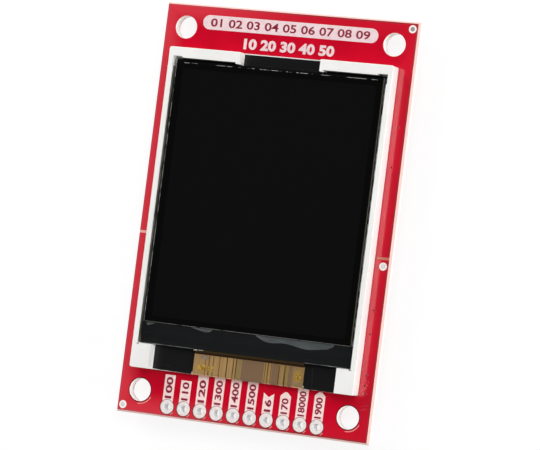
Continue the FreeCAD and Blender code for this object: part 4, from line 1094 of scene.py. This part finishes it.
def build_floor(settings):
    """A wide level floor just under the part, and its pale finish. What the camera, a
    mirror or a glass sees of it is mostly its own colour, so that shadows stay faint."""
    reach, gap, strength = 6.0, 0.02 * MM, 1.06
    corners = [(x * reach, y * reach, cad_low.z - gap)
               for x, y in ((-1, -1), (1, -1), (1, 1), (-1, 1))]
    mesh = bpy.data.meshes.new("floor")
    mesh.from_pydata(corners, [], [(0, 1, 2, 3)])
    floor = bpy.data.objects.new("floor", mesh)
    bpy.context.scene.collection.objects.link(floor)
    finish = Finish("pale_matt_floor", "ededed", 0.9)
    glow = finish.add("Emission", {"Color": [*settings.floor_colour, 1.0],
                                   "Strength": strength})
    path = finish.add("LightPath")
    seen = finish.math("MAXIMUM", path.outputs["Is Camera Ray"],
                       finish.math("MAXIMUM", path.outputs["Is Glossy Ray"],
                                   path.outputs["Is Transmission Ray"]))
    share = finish.times(seen, settings.floor_glow)
    mixed = finish.add("MixShader", None, {0: share, 1: finish.shader.outputs[0],
                                           2: glow.outputs[0]})
    output = finish.tree.nodes["Material Output"]
    finish.tree.links.new(mixed.outputs[0], output.inputs["Surface"])
    mesh.materials.append(finish.material)


def build_world():
    """A pale band round the horizon under a dim ceiling, by the direction's height."""
    world = bpy.data.worlds.new("studio")
    bpy.context.scene.world = world
    world.use_nodes = True
    tree = world.node_tree
    direction = add_node(tree, "TexCoord").outputs["Generated"]
    height = add_node(tree, "SeparateXYZ", None, {"Vector": direction}).outputs["Z"]
    dim, pale = 0.022, 1.25
    band_top, ceiling = 0.15, 0.5
    fade = add_node(tree, "MapRange", {"interpolation_type": "SMOOTHSTEP",
                                       "From Min": band_top, "From Max": ceiling,
                                       "To Min": pale, "To Max": dim}, {"Value": height})
    background = tree.nodes["Background"]
    background.inputs["Color"].default_value = (1, 1, 1, 1)
    tree.links.new(fade.outputs[0], background.inputs["Strength"])


def build_lamps(settings):
    """Soft square lamps. Each is given the share of a full light level that it brings to
    a face that looks up: its power is share times pi squared times distance squared over
    the cosine of its lean. Only the one near the camera shows in glossy faces, so that
    the low ones don't wash out the board and the screen in a look from the side."""
    target = Vector((0, 0, mask_z))
    for name, direction, distance, size, share in (
            ("lamp_upper_left", (-0.75, 0.62, 0.55), 0.60, 0.34, 0.30),
            ("lamp_near_camera", (0.42, 0.50, 0.85), 0.70, 0.42, 0.37),
            ("lamp_right", (0.95, -0.05, 0.30), 0.60, 0.30, 0.13),
            ("lamp_lower", (0.10, -0.85, 0.55), 0.65, 0.30, 0.11)):
        way = Vector(direction).normalized()
        light = bpy.data.lights.new(name, "AREA")
        light.shape = "SQUARE"
        light.size = size
        light.energy = settings.light_level * share * math.pi ** 2 * distance ** 2 / way.z
        lamp = bpy.data.objects.new(name, light)
        lamp.location = target + way * distance
        lamp.rotation_euler = (-way).to_track_quat("-Z", "Y").to_euler()
        lamp.visible_glossy = name == "lamp_near_camera"
        bpy.context.scene.collection.objects.link(lamp)


def build_camera():
    """The photograph's own viewpoint, worked out from the board's corners, its holes and
    its pad row: 22 degrees right of the screen's normal, 2 degrees below it."""
    centre_mm = (164.766, -16.889, 399.530)
    turn_deg = (5.0611, 21.8671, 7.7561)
    focal_px, width_px, sensor_mm = 3080.0, 540.0, 36.0
    data = bpy.data.cameras.new("camera")
    data.sensor_width = sensor_mm
    data.lens = sensor_mm * focal_px / width_px
    data.clip_start, data.clip_end = 0.01, 20.0
    camera = bpy.data.objects.new("camera", data)
    camera.location = Vector(centre_mm) * MM + Vector((0, 0, mask_z))
    camera.rotation_euler = Euler([math.radians(a) for a in turn_deg], "XYZ")
    bpy.context.scene.collection.objects.link(camera)
    bpy.context.scene.camera = camera


OPERATORS = (FinishBoard, FinishDisplay, FinishBack, AddMaskRelief, AddNumerals,
             AddFlexDetail, AddTapeBlisters, AddApronEdges, BuildStudio)


class DISPLAY_PT_module(bpy.types.Panel):
    """Lists the steps and their settings"""

    bl_label = "Display module"
    bl_space_type = "VIEW_3D"
    bl_region_type = "UI"
    bl_category = "Display module"

    def draw(self, context):
        for operator in OPERATORS:
            self.layout.operator(operator.bl_idname)
        for name, group in SETTINGS.items():
            box = self.layout.box()
            for key in group.__annotations__:
                box.prop(getattr(context.scene, name), key)


def register():
    """Adds the settings, the operators and the panel."""
    for kind in (*SETTINGS.values(), *OPERATORS, DISPLAY_PT_module):
        bpy.utils.register_class(kind)
    for name, group in SETTINGS.items():
        setattr(bpy.types.Scene, name, bpy.props.PointerProperty(type=group))


def unregister():
    """Takes them away again."""
    for name in SETTINGS:
        delattr(bpy.types.Scene, name)
    for kind in reversed((*SETTINGS.values(), *OPERATORS, DISPLAY_PT_module)):
        bpy.utils.unregister_class(kind)


def main():
    """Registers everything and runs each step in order."""
    register()
    for operator in OPERATORS:
        group, step = operator.bl_idname.split(".")
        getattr(getattr(bpy.ops, group), step)()


if __name__ == "__main__":
    main()
